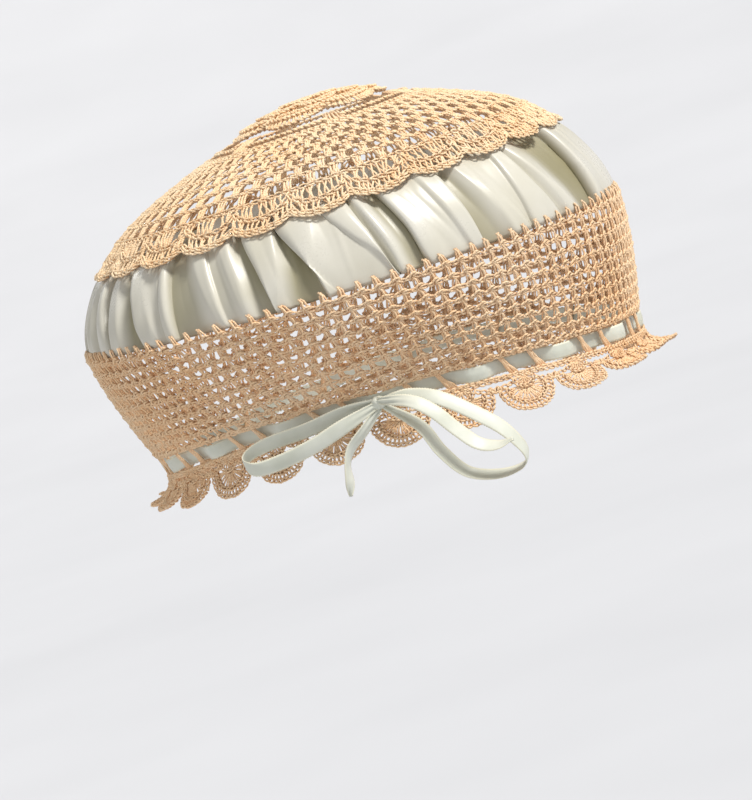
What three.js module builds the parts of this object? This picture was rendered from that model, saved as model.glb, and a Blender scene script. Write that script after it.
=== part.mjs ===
// A boudoir cap: a crocheted crown and side, a pleated satin band between them, a row of eyelets with a
// narrow ribbon threaded through it and tied in a bow, and an edging of crocheted shells.
// Millimetres, +Z up. The origin is the middle of the head opening, at the height of the threaded ribbon.
// The wearer looks along -Y, and the bow is at the right temple, on the -X side.
import * as THREE from "three";

// The cap's three main rings, the heights between them, how far the crown sits behind the opening, how much
// higher the rim is at the front, and how far ahead of the rim's middle the top stands
const OPENING_LENGTH = 208;
const OPENING_WIDTH = 172;
const GIRTH_LENGTH = 232;
const GIRTH_WIDTH = 210;
const RIM_LENGTH = 199;
const RIM_WIDTH = 180;
const SIDE_RISE = 54;
const BAND_RISE = 33;
const DOME_RISE = 37.5;
const BACK_SHIFT = 4.5;
const EAR_LIFT = 8;
const RIM_TILT = 2.5;
const CROWN_LEAN = 6;

// Walls and clearances
const CROCHET_THICKNESS = 2;
const SATIN_THICKNESS = 1;
const RIBBON_THICKNESS = 1;
const GAP = 0.4;
const LAP_GAP = 0.8;

// Crown: the rosette in the middle, the net round it, and the scalloped border over the satin.
// The radius shares are parts of the rim's radius, and the turn is where a notch between two lobes is,
// in degrees. The notches lie above the rim, and the lobes' tips hang below it.
const ROSETTE_RADIUS_SHARE = 0.5;
const ROSETTE_HOLE_SHARE = 0.025;
const ROSETTE_PETALS = 6;
const ROSE_RISE = 2;
const PETAL_NOTCH_SHARE = 0.7;
const NET_RADIUS_SHARE = 0.9;
const NET_HOLES = 18;
const BORDER_LOBES = 24;
const BORDER_TURN = 8;
const BORDER_NOTCH_RISE = 2.5;
const BORDER_TIP_DROP = 3;

// Satin band: how far it puffs out, how deep its folds are, how many degrees they lean back on the way up,
// and how far it is tucked under its neighbours
const SATIN_PUFF = 2;
const PUFF_ROUNDNESS = 0.6;
const PLEAT_DEPTH = 4.5;
const PLEAT_LEAN = 5;
const SATIN_TUCK = 3;

// Side net and the gathers that the drawstring makes in it
const SIDE_LAP = 3;
const GATHER_DEPTH = 1.2;

// Eyelet row and the narrow ribbon through it
const EYELETS = 48;
const POST_WIDTH = 2.4;
const RAIL_HEIGHT = 1.6;
const RAIL_THICKNESS = 1.6;
const RIBBON_WIDTH = 6.35;
const EYELET_CLEARANCE = 0.5;

// Shell edging, whose turn is where a notch between two shells is, in degrees
const SHELLS = 24;
const SHELL_TURN = -5;
const SHELL_DROP = 15.5;
const SHELL_NOTCH_DROP = 6;
const SHELL_NECK = 2.5;
const SHELL_RUFFLE = 1.6;
const EDGING_THICKNESS = 1.6;

// Bow
const BOW_ANGLE = 80;
const BOW_STAND_OFF = 1;
const KNOT_LENGTH = 6.4;
const KNOT_HEIGHT = 6;
const KNOT_DEPTH = 4.6;
const FRONT_LOOP_LENGTH = 52;
const BACK_LOOP_LENGTH = 60;
const FRONT_TAIL_LENGTH = 48;
const BACK_TAIL_LENGTH = 34;

// Facets
const SATIN_COLUMNS = 108;
const SIDE_COLUMNS = 72;
const COLUMNS_PER_LOBE = 4;
const COLUMNS_PER_SHELL = 4;
const COLUMNS_PER_PETAL = 6;
const STRIP_STEPS = 22;

// Shapes of the wall from the opening to the girth, from there to the rim, and over the dome.
// In the first two, share is the part of the way from the smaller ring out to the larger one;
// in the dome's, along is a share of the rim's radius and share one of the dome's rise.
const SIDE_PROFILE = [
  { along: 0, share: 0 },
  { along: 0.15, share: 0.2 },
  { along: 0.4, share: 0.52 },
  { along: 0.7, share: 0.82 },
  { along: 1, share: 1 },
];
const BAND_PROFILE = [
  { along: 0, share: 1 },
  { along: 0.3, share: 0.8 },
  { along: 0.6, share: 0.52 },
  { along: 0.85, share: 0.23 },
  { along: 1, share: 0 },
];
const DOME_PROFILE = [
  { along: 0, share: 1 },
  { along: 0.15, share: 0.97 },
  { along: 0.3, share: 0.9 },
  { along: 0.45, share: 0.78 },
  { along: 0.6, share: 0.64 },
  { along: 0.75, share: 0.48 },
  { along: 0.88, share: 0.29 },
  { along: 1, share: 0 },
];

// Folds of the satin, in degrees round the cap from the front towards the bow: where the fold's valley is,
// how wide it is, and its depth as a share of the deepest. Wide shallow ones are soft hollows in a panel.
const PLEATS = [
  { at: 14, width: 15, depth: 1 },
  { at: 31, width: 9, depth: 0.4 },
  { at: 44, width: 7, depth: 0.9 },
  { at: 54, width: 7, depth: 0.35 },
  { at: 62.5, width: 7, depth: 1 },
  { at: 73, width: 9, depth: 0.3 },
  { at: 85, width: 8, depth: 1 },
  { at: 95, width: 6, depth: 0.9 },
  { at: 103, width: 7, depth: 0.4 },
  { at: 112, width: 11, depth: 0.8 },
  { at: 122, width: 6, depth: 0.4 },
  { at: 133, width: 8, depth: 1 },
  { at: 147, width: 8, depth: 0.6 },
  { at: 161, width: 8, depth: 0.9 },
  { at: 172, width: 8, depth: 0.4 },
  { at: 184, width: 8, depth: 1 },
  { at: 198, width: 10, depth: 0.7 },
  { at: 212, width: 7, depth: 0.9 },
  { at: 224, width: 8, depth: 0.4 },
  { at: 236, width: 8, depth: 1 },
  { at: 251, width: 9, depth: 0.7 },
  { at: 266, width: 7, depth: 0.9 },
  { at: 277, width: 8, depth: 0.4 },
  { at: 290, width: 9, depth: 1 },
  { at: 306, width: 8, depth: 0.8 },
  { at: 319, width: 8, depth: 0.4 },
  { at: 332, width: 8, depth: 1 },
  { at: 346, width: 9, depth: 0.7 },
];

// How far the shells stand out from straight down, in degrees, round the cap from the front
const FLARES = [
  { along: 0, share: 75 },
  { along: 20, share: 55 },
  { along: 45, share: 22 },
  { along: 70, share: 6 },
  { along: 115, share: 6 },
  { along: 145, share: 34 },
  { along: 180, share: 58 },
];

// Runs of the ribbon in the bow, from the knot: how far ahead (towards the front), up and out (away from the
// head), as shares of that piece's reach; which way its face looks, in the same three directions; and its
// width there as a share of the ribbon's, because the knot gathers it.
const FRONT_LOOP = [
  { ahead: 0.064, up: 0.005, out: 0.065, face: [0, 0.35, 1], wide: 0.6 },
  { ahead: 0.25, up: -0.01, out: 0.11, face: [0, 0.5, 1], wide: 1 },
  { ahead: 0.49, up: -0.1, out: 0.15, face: [0.2, 0.7, 1], wide: 1 },
  { ahead: 0.82, up: -0.39, out: 0.15, face: [0.5, 0.6, 1], wide: 1 },
  { ahead: 0.96, up: -0.6, out: 0.11, face: [1, 0.4, 0.7], wide: 1 },
  { ahead: 0.98, up: -0.73, out: 0.05, face: [1, -0.3, 0.1], wide: 1 },
  { ahead: 0.9, up: -0.8, out: 0.01, face: [0.4, -1, -0.3], wide: 1 },
  { ahead: 0.7, up: -0.8, out: 0.02, face: [0, -1, -0.6], wide: 1 },
  { ahead: 0.49, up: -0.71, out: 0.04, face: [-0.5, -1, -0.8], wide: 1 },
  { ahead: 0.35, up: -0.5, out: 0.06, face: [-1, -0.5, -1], wide: 1 },
  { ahead: 0.25, up: -0.26, out: 0.06, face: [-1, -0.5, -1.2], wide: 0.9 },
  { ahead: 0.075, up: -0.05, out: 0.02, face: [-0.4, -0.5, -1], wide: 0.5 },
];
const BACK_LOOP = [
  { ahead: -0.052, up: 0.01, out: 0.015, face: [0, 0.25, -1], wide: 0.5 },
  { ahead: -0.25, up: 0.0, out: 0.03, face: [0, 0.3, -1], wide: 0.95 },
  { ahead: -0.52, up: -0.035, out: 0.02, face: [0, 0.3, -1], wide: 1 },
  { ahead: -0.8, up: -0.05, out: 0.0, face: [-0.2, 0.4, -1], wide: 1 },
  { ahead: -0.95, up: -0.08, out: 0.005, face: [-0.8, 0.5, -0.7], wide: 1 },
  { ahead: -1, up: -0.13, out: 0.045, face: [-1, 0, 0.1], wide: 1 },
  { ahead: -0.93, up: -0.185, out: 0.09, face: [-0.6, -0.3, 1], wide: 1 },
  { ahead: -0.75, up: -0.185, out: 0.1, face: [0, -0.2, 1], wide: 1 },
  { ahead: -0.5, up: -0.145, out: 0.11, face: [0, -0.1, 1], wide: 1 },
  { ahead: -0.25, up: -0.075, out: 0.105, face: [0, 0, 1], wide: 0.95 },
  { ahead: -0.052, up: -0.01, out: 0.062, face: [0, 0, 1], wide: 0.55 },
];
const FRONT_TAIL = [
  { ahead: 0.03, up: 0.02, out: 0.107, face: [-0.5, 0.2, 1], wide: 0.5 },
  { ahead: 0.28, up: -0.04, out: 0.24, face: [0.2, 0.8, 1], wide: 0.9 },
  { ahead: 0.45, up: -0.17, out: 0.28, face: [0.4, 0.8, 1], wide: 1 },
  { ahead: 0.6, up: -0.38, out: 0.28, face: [0.6, 0.7, 1], wide: 1 },
  { ahead: 0.73, up: -0.54, out: 0.27, face: [0.4, 0.9, 0.9], wide: 1 },
  { ahead: 0.88, up: -0.6, out: 0.27, face: [0, 1, 0.6], wide: 0.9 },
  { ahead: 1.03, up: -0.59, out: 0.27, face: [-0.2, 1, 0.3], wide: 0.4 },
];
const BACK_TAIL = [
  { ahead: -0.02, up: -0.14, out: 0.09, face: [0.6, 0.2, 1], wide: 0.5 },
  { ahead: -0.25, up: -0.26, out: 0.14, face: [1, -0.2, 0.9], wide: 0.75 },
  { ahead: -0.46, up: -0.42, out: 0.16, face: [1, -0.2, 0.6], wide: 0.9 },
  { ahead: -0.56, up: -0.6, out: 0.16, face: [1, 0, 0.25], wide: 0.95 },
  { ahead: -0.6, up: -0.8, out: 0.15, face: [1, 0, 0.5], wide: 0.95 },
  { ahead: -0.66, up: -0.97, out: 0.12, face: [1, 0, 1.3], wide: 0.3 },
];

// Materials
const peachCotton = new THREE.MeshStandardMaterial({ color: 0xe3b07c, roughness: 0.9 });
const celadonSatin = new THREE.MeshStandardMaterial({ color: 0xd9d8c6, roughness: 0.35 });
const celadonRibbon = new THREE.MeshStandardMaterial({ color: 0xcdd0c0, roughness: 0.4 });

const radians = THREE.MathUtils.degToRad;
const mix = THREE.MathUtils.lerp;

// How many degrees an angle is from the front, either way round
const fromFront = (angle) => Math.abs(angle - 360 * Math.round(angle / 360));

// The value at x of a smooth curve through a table's rows, in the order of their column along.
function curve(rows, x) {
  const last = rows.length - 1;
  let k = 0;
  while (k < last - 1 && x > rows[k + 1].along) k++;
  const slope = (i) => {
    const before = rows[Math.max(i - 1, 0)];
    const after = rows[Math.min(i + 1, last)];
    return (after.share - before.share) / (after.along - before.along);
  };
  const span = rows[k + 1].along - rows[k].along;
  const t = (x - rows[k].along) / span;
  const s = 1 - t;
  return (
    s * s * (1 + 2 * t) * rows[k].share +
    t * t * (3 - 2 * t) * rows[k + 1].share +
    t * s * span * (s * slope(k) - t * slope(k + 1))
  );
}

// A point of the cap's form, which is the inner face of the crochet. The angle runs in degrees from the front
// towards the bow. The level is 0 at the opening, 1 at the girth, 2 at the crown's rim and 3 at the top.
function capPoint(angle, level) {
  const around = radians(angle);
  let length, width, z, back;
  if (level <= 1) {
    const share = curve(SIDE_PROFILE, Math.max(level, 0));
    length = mix(OPENING_LENGTH, GIRTH_LENGTH, share);
    width = mix(OPENING_WIDTH, GIRTH_WIDTH, share);
    z = SIDE_RISE * level + EAR_LIFT * Math.sin(around) ** 2 * (1 - level);
    back = BACK_SHIFT * level;
  } else if (level <= 2) {
    const share = curve(BAND_PROFILE, level - 1);
    length = mix(RIM_LENGTH, GIRTH_LENGTH, share);
    width = mix(RIM_WIDTH, GIRTH_WIDTH, share);
    z = SIDE_RISE + (BAND_RISE + RIM_TILT * Math.cos(around)) * (level - 1);
    back = BACK_SHIFT;
  } else {
    const share = 3 - level;
    length = RIM_LENGTH * share;
    width = RIM_WIDTH * share;
    z = SIDE_RISE + BAND_RISE + DOME_RISE * curve(DOME_PROFILE, share) + RIM_TILT * Math.cos(around) * share;
    back = BACK_SHIFT - CROWN_LEAN * (1 - share);
  }
  return new THREE.Vector3(
    (-width / 2) * Math.sin(around),
    back - (length / 2) * Math.cos(around),
    z,
  );
}

// The direction away from the head there, eased over the seams at the girth and the rim.
function capNormal(angle, level) {
  const reach = 0.05;
  const turn = 0.5;
  const up = capPoint(angle, Math.min(level + reach, 2.999)).sub(capPoint(angle, level - reach));
  const along = capPoint(angle + turn, level).sub(capPoint(angle - turn, level));
  return up.cross(along).normalize();
}

// A point that lies off the cap's form by a distance away from the head.
function offCap(angle, level, out) {
  return capPoint(angle, level).addScaledVector(capNormal(angle, level), out);
}

// Lengths measured along the wall, as parts of a level
const sideLevels = (mm) => mm / Math.hypot(SIDE_RISE, (GIRTH_LENGTH - OPENING_LENGTH) / 2);
const bandLevels = (mm) => mm / Math.hypot(BAND_RISE, (GIRTH_LENGTH - RIM_LENGTH) / 2);
const domeLevels = (mm) => mm / Math.hypot(DOME_RISE, RIM_LENGTH / 2);

// The level that lies a distance below the rim, or above it where the distance is negative
const levelBelowRim = (mm) => 2 - (mm > 0 ? bandLevels(mm) : domeLevels(mm));

// A closed wall made of a grid of cells, round the cap if it is a ring. The corner function gives a grid
// corner on the outer (side 1) or inner (side 0) face, and isOpen says which cells are gaps.
function wall(columns, rows, isRing, corner, isOpen = () => false) {
  const positions = [];
  const at = (i, j, side) => corner(isRing ? i % columns : i, j, side).toArray();
  const quad = (a, b, c, d) => positions.push(...a, ...b, ...c, ...a, ...c, ...d);
  const filled = (i, j) => {
    if (j < 0 || j >= rows) return false;
    if (!isRing && (i < 0 || i >= columns)) return false;
    return !isOpen((i + columns) % columns, j);
  };
  for (let i = 0; i < columns; i++) {
    for (let j = 0; j < rows; j++) {
      if (!filled(i, j)) continue;
      quad(at(i, j, 1), at(i, j + 1, 1), at(i + 1, j + 1, 1), at(i + 1, j, 1));
      quad(at(i, j, 0), at(i + 1, j, 0), at(i + 1, j + 1, 0), at(i, j + 1, 0));
      if (!filled(i, j - 1)) quad(at(i, j, 0), at(i, j, 1), at(i + 1, j, 1), at(i + 1, j, 0));
      if (!filled(i, j + 1)) quad(at(i, j + 1, 1), at(i, j + 1, 0), at(i + 1, j + 1, 0), at(i + 1, j + 1, 1));
      if (!filled(i - 1, j)) quad(at(i, j, 0), at(i, j + 1, 0), at(i, j + 1, 1), at(i, j, 1));
      if (!filled(i + 1, j)) quad(at(i + 1, j, 1), at(i + 1, j + 1, 1), at(i + 1, j + 1, 0), at(i + 1, j, 0));
    }
  }
  const geometry = new THREE.BufferGeometry();
  geometry.setAttribute("position", new THREE.Float32BufferAttribute(positions, 3));
  geometry.computeVertexNormals();
  return geometry;
}

function piece(name, geometry, material) {
  const mesh = new THREE.Mesh(geometry, material);
  mesh.name = name;
  return mesh;
}

// How far the satin's crests stand off the cap's form at a level; its neighbours lie on them.
function satinPuff(level) {
  const share = THREE.MathUtils.clamp(level - 1, 0, 1);
  return SATIN_PUFF * Math.sin(Math.PI * share) ** PUFF_ROUNDNESS;
}

// The depth of the folds at an angle, from 0 on a crest to 1 in the deepest valley.
function pleatDepth(angle) {
  const depths = PLEATS.map(({ at, width, depth }) => {
    const away = fromFront(angle - at) / (width / 2);
    return depth * Math.exp(-(away ** 3));
  });
  return Math.max(...depths);
}

// Crown

// The rose in the middle stands up in petals, inside a ring of long openings.
function rosette() {
  const rimLevel = 3 - ROSETTE_RADIUS_SHARE;
  const holeLevel = 3 - ROSETTE_HOLE_SHARE;
  const rowShares = [0, 0.07, 0.28, 0.42, 0.6, 0.8, 1];
  const riseShares = [0, 0, 0.15, 0.9, 1, 0.75, 0.55];
  const slots = 1;
  const columns = ROSETTE_PETALS * COLUMNS_PER_PETAL;
  const corner = (i, j, side) => {
    const level = mix(rimLevel, holeLevel, rowShares[j]);
    const bulge = Math.sin((Math.PI * (i % COLUMNS_PER_PETAL)) / COLUMNS_PER_PETAL);
    const petal = mix(PETAL_NOTCH_SHARE, 1, bulge);
    const rise = ROSE_RISE * riseShares[j] * petal;
    return offCap((i * 360) / columns, level, rise + side * CROCHET_THICKNESS);
  };
  const isOpen = (i, j) => j === slots && i % COLUMNS_PER_PETAL > 0;
  return wall(columns, rowShares.length - 1, true, corner, isOpen);
}

function crownNet() {
  const columnsPerHole = 3;
  const rowShares = [0, 0.1, 0.3, 0.4, 0.6, 0.7, 0.9, 1];
  const columns = NET_HOLES * columnsPerHole;
  const lowLevel = 3 - NET_RADIUS_SHARE;
  const highLevel = 3 - ROSETTE_RADIUS_SHARE - domeLevels(GAP);
  const corner = (i, j, side) => {
    const level = mix(lowLevel, highLevel, rowShares[j]);
    return offCap((i * 360) / columns, level, side * CROCHET_THICKNESS);
  };
  const isOpen = (i, j) => {
    const stagger = Math.floor(j / 2);
    return j % 2 === 1 && (i + stagger) % columnsPerHole > 0;
  };
  return wall(columns, rowShares.length - 1, true, corner, isOpen);
}

// Depth of the lobe at a place in it from -1 to 1: half an ellipse between its two notches
function lobeDepth(place, notch, tip) {
  return mix(notch, tip, Math.sqrt(Math.max(0, 1 - place * place)));
}

function crownBorder() {
  const rows = 2;
  const columns = BORDER_LOBES * COLUMNS_PER_LOBE;
  const highLevel = 3 - NET_RADIUS_SHARE - domeLevels(GAP);
  const corner = (i, j, side) => {
    const place = ((i % COLUMNS_PER_LOBE) / COLUMNS_PER_LOBE) * 2 - 1;
    const drop = lobeDepth(place, -BORDER_NOTCH_RISE, BORDER_TIP_DROP);
    const angle = BORDER_TURN + (i * 360) / columns;
    const level = mix(levelBelowRim(drop), highLevel, j / rows);
    return offCap(angle, level, satinPuff(level) + side * CROCHET_THICKNESS);
  };
  return wall(columns, rows, true, corner);
}

// Satin

function satinBand() {
  const lowLevel = 1 - sideLevels(SATIN_TUCK);
  const highLevel = levelBelowRim(-BORDER_NOTCH_RISE - SATIN_TUCK);
  const rowShares = [0, 0.15, 0.45, 0.8, 1];
  const edgeFold = 0.35;
  const corner = (i, j, side) => {
    const angle = (i * 360) / SATIN_COLUMNS;
    const level = mix(lowLevel, highLevel, rowShares[j]);
    const fold = mix(edgeFold, 1, Math.sin(Math.PI * rowShares[j]));
    const lean = PLEAT_LEAN * (level - 1.5);
    const out = satinPuff(level) - LAP_GAP - PLEAT_DEPTH * fold * pleatDepth(angle - lean);
    return offCap(angle, level, out - (1 - side) * SATIN_THICKNESS);
  };
  return wall(SATIN_COLUMNS, rowShares.length - 1, true, corner);
}

// Side and opening

const eyeletHalfHeight = RIBBON_WIDTH / 2 + EYELET_CLEARANCE;
const eyeletRowHalfHeight = eyeletHalfHeight + RAIL_HEIGHT;
const ribbonOffset = RAIL_THICKNESS / 2 + GAP + RIBBON_THICKNESS / 2;

function sideNet() {
  const rows = 3;
  const lowLevel = sideLevels(eyeletRowHalfHeight + GAP);
  const highLevel = 1 + bandLevels(SIDE_LAP);
  const corner = (i, j, side) => {
    const angle = (i * 360) / SIDE_COLUMNS;
    const level = mix(lowLevel, highLevel, j / rows);
    const gather = (GATHER_DEPTH / 2) * Math.cos(radians(SHELLS * angle)) * (1 - j / rows) ** 2;
    const out = satinPuff(level) + gather + side * CROCHET_THICKNESS;
    return offCap(angle, level, out);
  };
  return wall(SIDE_COLUMNS, rows, true, corner);
}

// The angle of an eyelet post's near (edge 0) or far (edge 1) side
function postAngle(post, edge, width = POST_WIDTH) {
  const degreesPerMm = 360 / (Math.PI * ((OPENING_LENGTH + OPENING_WIDTH) / 2));
  return BOW_ANGLE + (post * 360) / EYELETS + (edge - 0.5) * width * degreesPerMm;
}

function eyeletRow() {
  const heights = [-eyeletRowHalfHeight, -eyeletHalfHeight, eyeletHalfHeight, eyeletRowHalfHeight];
  const corner = (i, j, side) => {
    const angle = postAngle(Math.floor(i / 2), i % 2);
    return offCap(angle, sideLevels(heights[j]), side * RAIL_THICKNESS);
  };
  const isOpen = (i, j) => j === 1 && i % 2 === 1;
  return wall(EYELETS * 2, heights.length - 1, true, corner, isOpen);
}

// The ribbon passes over one post and under the next two.
function drawstring() {
  const repeat = 3;
  const flat = POST_WIDTH + 2 * RIBBON_THICKNESS;
  const corner = (i, j, side) => {
    const post = Math.floor(i / 2);
    const way = post % repeat === 0 ? 1 : -1;
    const middle = RAIL_THICKNESS / 2 + way * ribbonOffset;
    const level = sideLevels((j - 0.5) * RIBBON_WIDTH);
    return offCap(postAngle(post, i % 2, flat), level, middle + (side - 0.5) * RIBBON_THICKNESS);
  };
  return wall(EYELETS * 2, 1, true, corner);
}

// The shells hang straight for the height of their neck, and stand out by the flare below it.
function shellEdging() {
  const rows = 3;
  const columns = SHELLS * COLUMNS_PER_SHELL;
  const topLevel = -sideLevels(eyeletRowHalfHeight + GAP);
  const corner = (i, j, side) => {
    const angle = SHELL_TURN + (i * 360) / columns;
    const place = ((i % COLUMNS_PER_SHELL) / COLUMNS_PER_SHELL) * 2 - 1;
    const below = Math.max(j - 1, 0) / (rows - 1);
    const drop = (lobeDepth(place, SHELL_NOTCH_DROP, SHELL_DROP) - SHELL_NECK) * below;
    const flare = radians(curve(FLARES, fromFront(angle))) * Math.sqrt(below);
    const ruffle = SHELL_RUFFLE * (1 - place * place) * below;
    const away = capNormal(angle, topLevel).setZ(0).normalize();
    const down = away.clone().multiplyScalar(Math.sin(flare)).setZ(-Math.cos(flare));
    const face = away.clone().multiplyScalar(Math.cos(flare)).setZ(Math.sin(flare));
    return capPoint(angle, topLevel)
      .addScaledVector(down, drop)
      .addScaledVector(face, ruffle + side * EDGING_THICKNESS)
      .add(new THREE.Vector3(0, 0, j > 0 ? -SHELL_NECK : 0));
  };
  // Rows run downwards here, so columns run the other way round to keep the faces outwards.
  return wall(columns, rows, true, (i, j, side) => corner((columns - i) % columns, j, side));
}

// Bow

// A frame at the bow: its middle lies on the ribbon's outer face, with directions ahead, up and out.
const bow = (() => {
  const out = capNormal(BOW_ANGLE, 0).setZ(0).normalize();
  const up = new THREE.Vector3(0, 0, 1);
  const ahead = out.clone().cross(up).negate();
  const face = RAIL_THICKNESS / 2 + ribbonOffset + RIBBON_THICKNESS / 2 + BOW_STAND_OFF;
  const middle = offCap(BOW_ANGLE, 0, face);
  const direction = (a, u, o) =>
    new THREE.Vector3().addScaledVector(ahead, a).addScaledVector(up, u).addScaledVector(out, o);
  return { middle, direction };
})();

// A length of ribbon through a table's rows, each as far from the knot as its shares of the reach say
function ribbonRun(rows, reach) {
  const spline = (vectors) => new THREE.CatmullRomCurve3(vectors, false, "centripetal");
  const path = spline(
    rows.map((row) => bow.direction(row.ahead, row.up, row.out).multiplyScalar(reach).add(bow.middle)),
  );
  const faces = new THREE.CatmullRomCurve3(rows.map((row) => bow.direction(...row.face).normalize()));
  const widths = rows.map((row, k) => ({ along: k / (rows.length - 1), share: row.wide }));
  const corner = (i, j, side) => {
    const t = j / STRIP_STEPS;
    const tangent = path.getTangent(t);
    const face = faces.getPoint(t);
    face.addScaledVector(tangent, -face.dot(tangent)).normalize();
    const across = face.clone().cross(tangent);
    return path
      .getPoint(t)
      .addScaledVector(across, (i - 0.5) * RIBBON_WIDTH * curve(widths, t))
      .addScaledVector(face, (side - 0.5) * RIBBON_THICKNESS);
  };
  return wall(1, STRIP_STEPS, false, corner);
}

function knot() {
  const geometry = new THREE.SphereGeometry(0.5, 14, 8);
  const basis = new THREE.Matrix4().makeBasis(
    bow.direction(KNOT_LENGTH, 0, 0),
    bow.direction(0, KNOT_HEIGHT, 0),
    bow.direction(0, 0, KNOT_DEPTH),
  );
  basis.setPosition(bow.middle.clone().add(bow.direction(0, 0, KNOT_DEPTH / 2)));
  if (basis.determinant() < 0) geometry.scale(-1, 1, 1);
  return geometry.applyMatrix4(basis);
}

const cap = new THREE.Group();
cap.add(piece("crown_rosette", rosette(), peachCotton));
cap.add(piece("crown_net", crownNet(), peachCotton));
cap.add(piece("crown_border", crownBorder(), peachCotton));
cap.add(piece("satin_band", satinBand(), celadonSatin));
cap.add(piece("side_net", sideNet(), peachCotton));
cap.add(piece("eyelet_row", eyeletRow(), peachCotton));
cap.add(piece("shell_edging", shellEdging(), peachCotton));
cap.add(piece("drawstring_ribbon", drawstring(), celadonRibbon));
cap.add(piece("bow_knot", knot(), celadonRibbon));
cap.add(piece("bow_loop_front", ribbonRun(FRONT_LOOP, FRONT_LOOP_LENGTH), celadonRibbon));
cap.add(piece("bow_loop_back", ribbonRun(BACK_LOOP, BACK_LOOP_LENGTH), celadonRibbon));
cap.add(piece("bow_tail_front", ribbonRun(FRONT_TAIL, FRONT_TAIL_LENGTH), celadonRibbon));
cap.add(piece("bow_tail_back", ribbonRun(BACK_TAIL, BACK_TAIL_LENGTH), celadonRibbon));

export default cap;
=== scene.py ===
"""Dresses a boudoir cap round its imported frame: crochet laid strand by strand, pleated satin and narrow ribbon.

Sizes in the classes are millimetres, and a mesh is turned to metres when it is made. Round the cap, an angle
runs in degrees from the front towards the bow. Up the cap, a level is 0 at the opening, 1 at the girth, 2 at the
crown's rim and 3 at the top. The wearer looks along -Y, and the bow is on the -X side.
"""

import logging
import math
from collections.abc import Callable
from dataclasses import dataclass, field, replace
from enum import Enum

import bpy
import numpy as np
from mathutils import Matrix, Vector


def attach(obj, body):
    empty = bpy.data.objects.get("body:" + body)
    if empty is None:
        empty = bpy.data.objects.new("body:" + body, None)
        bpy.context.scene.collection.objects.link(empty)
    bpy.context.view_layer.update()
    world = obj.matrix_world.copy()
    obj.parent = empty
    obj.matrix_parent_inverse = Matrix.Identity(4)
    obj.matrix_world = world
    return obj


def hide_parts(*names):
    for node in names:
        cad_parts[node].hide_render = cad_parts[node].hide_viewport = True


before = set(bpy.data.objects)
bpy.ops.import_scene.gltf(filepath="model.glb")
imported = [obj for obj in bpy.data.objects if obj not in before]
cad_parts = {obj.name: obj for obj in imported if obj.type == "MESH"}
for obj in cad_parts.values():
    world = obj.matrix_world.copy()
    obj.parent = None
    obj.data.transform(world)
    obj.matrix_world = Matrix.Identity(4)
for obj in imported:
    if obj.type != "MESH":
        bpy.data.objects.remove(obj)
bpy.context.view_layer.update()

MM = 0.001
BODY = "root"
log = logging.getLogger("boudoir_cap")


class Way(Enum):
    """Which side of a post or of the cap's form a ribbon passes on."""

    OVER = 1
    UNDER = -1


def lerp(low: object, high: object, share: object) -> object:
    """Return the value a share of the way from low to high."""
    return low + (high - low) * share


def eased_step(share: np.ndarray) -> np.ndarray:
    """Return shares from 0 to 1 that start and end gently."""
    return share * share * (3 - 2 * share)


def shorter(turn: np.ndarray) -> np.ndarray:
    """Return turns in degrees the shorter way round, from -180 to 180."""
    return (turn + 180) % 360 - 180


def thrice(places: np.ndarray, whole: float) -> np.ndarray:
    """Return places on a closed way with those of the round before and the round after."""
    return np.concatenate([places - whole, places, places + whole])


def run_along(points: np.ndarray) -> np.ndarray:
    """Return how far along a line each of its points lies."""
    return np.concatenate([[0], np.cumsum(np.linalg.norm(np.diff(points, axis=0), axis=1))])


def eased(rows: list, x: np.ndarray) -> np.ndarray:
    """Read a smooth curve through a table.

    Args:
        rows: pairs of a place and the curve's value there, in order of place.
        x: the places to read.

    Returns:
        The curve's value at each place.
    """
    places, values = (np.array(column, dtype=float) for column in zip(*rows))
    last = len(places) - 1
    before, after = np.maximum(np.arange(last + 1) - 1, 0), np.minimum(np.arange(last + 1) + 1, last)
    slopes = (values[after] - values[before]) / (places[after] - places[before])
    x = np.asarray(x, dtype=float)
    k = np.clip(np.searchsorted(places, x, side="left") - 1, 0, last - 1)
    span = places[k + 1] - places[k]
    t = (x - places[k]) / span
    s = 1 - t
    ends = s * s * (1 + 2 * t) * values[k] + t * t * (3 - 2 * t) * values[k + 1]
    return ends + t * s * span * (s * slopes[k] - t * slopes[k + 1])


def through(points: np.ndarray, rings: int) -> np.ndarray:
    """Run a smooth line through a few points.

    Args:
        points: control points, as an array (..., points, values).
        rings: how many points the line is to have.

    Returns:
        The line, as an array (..., rings, values).
    """
    points = np.asarray(points, dtype=float)
    count = points.shape[-2]
    weights = np.zeros((rings, count))
    for row, place in enumerate(np.linspace(0, count - 1, rings)):
        k = min(int(place), count - 2)
        t = place - k
        cubic = (
            (-0.5 * t + t * t - 0.5 * t ** 3),
            (1 - 2.5 * t * t + 1.5 * t ** 3),
            (0.5 * t + 2 * t * t - 1.5 * t ** 3),
            (-0.5 * t * t + 0.5 * t ** 3),
        )
        for offset, weight in zip((-1, 0, 1, 2), cubic):
            at = k + offset
            if at < 0:
                weights[row, 0] += 2 * weight
                weights[row, 1] -= weight
            elif at >= count:
                weights[row, count - 1] += 2 * weight
                weights[row, count - 2] -= weight
            else:
                weights[row, at] += weight
    return np.einsum("rk,...kv->...rv", weights, points)


def unit(vectors: np.ndarray) -> np.ndarray:
    """Return vectors of length one."""
    return vectors / np.maximum(np.linalg.norm(vectors, axis=-1, keepdims=True), 1e-9)


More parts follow.
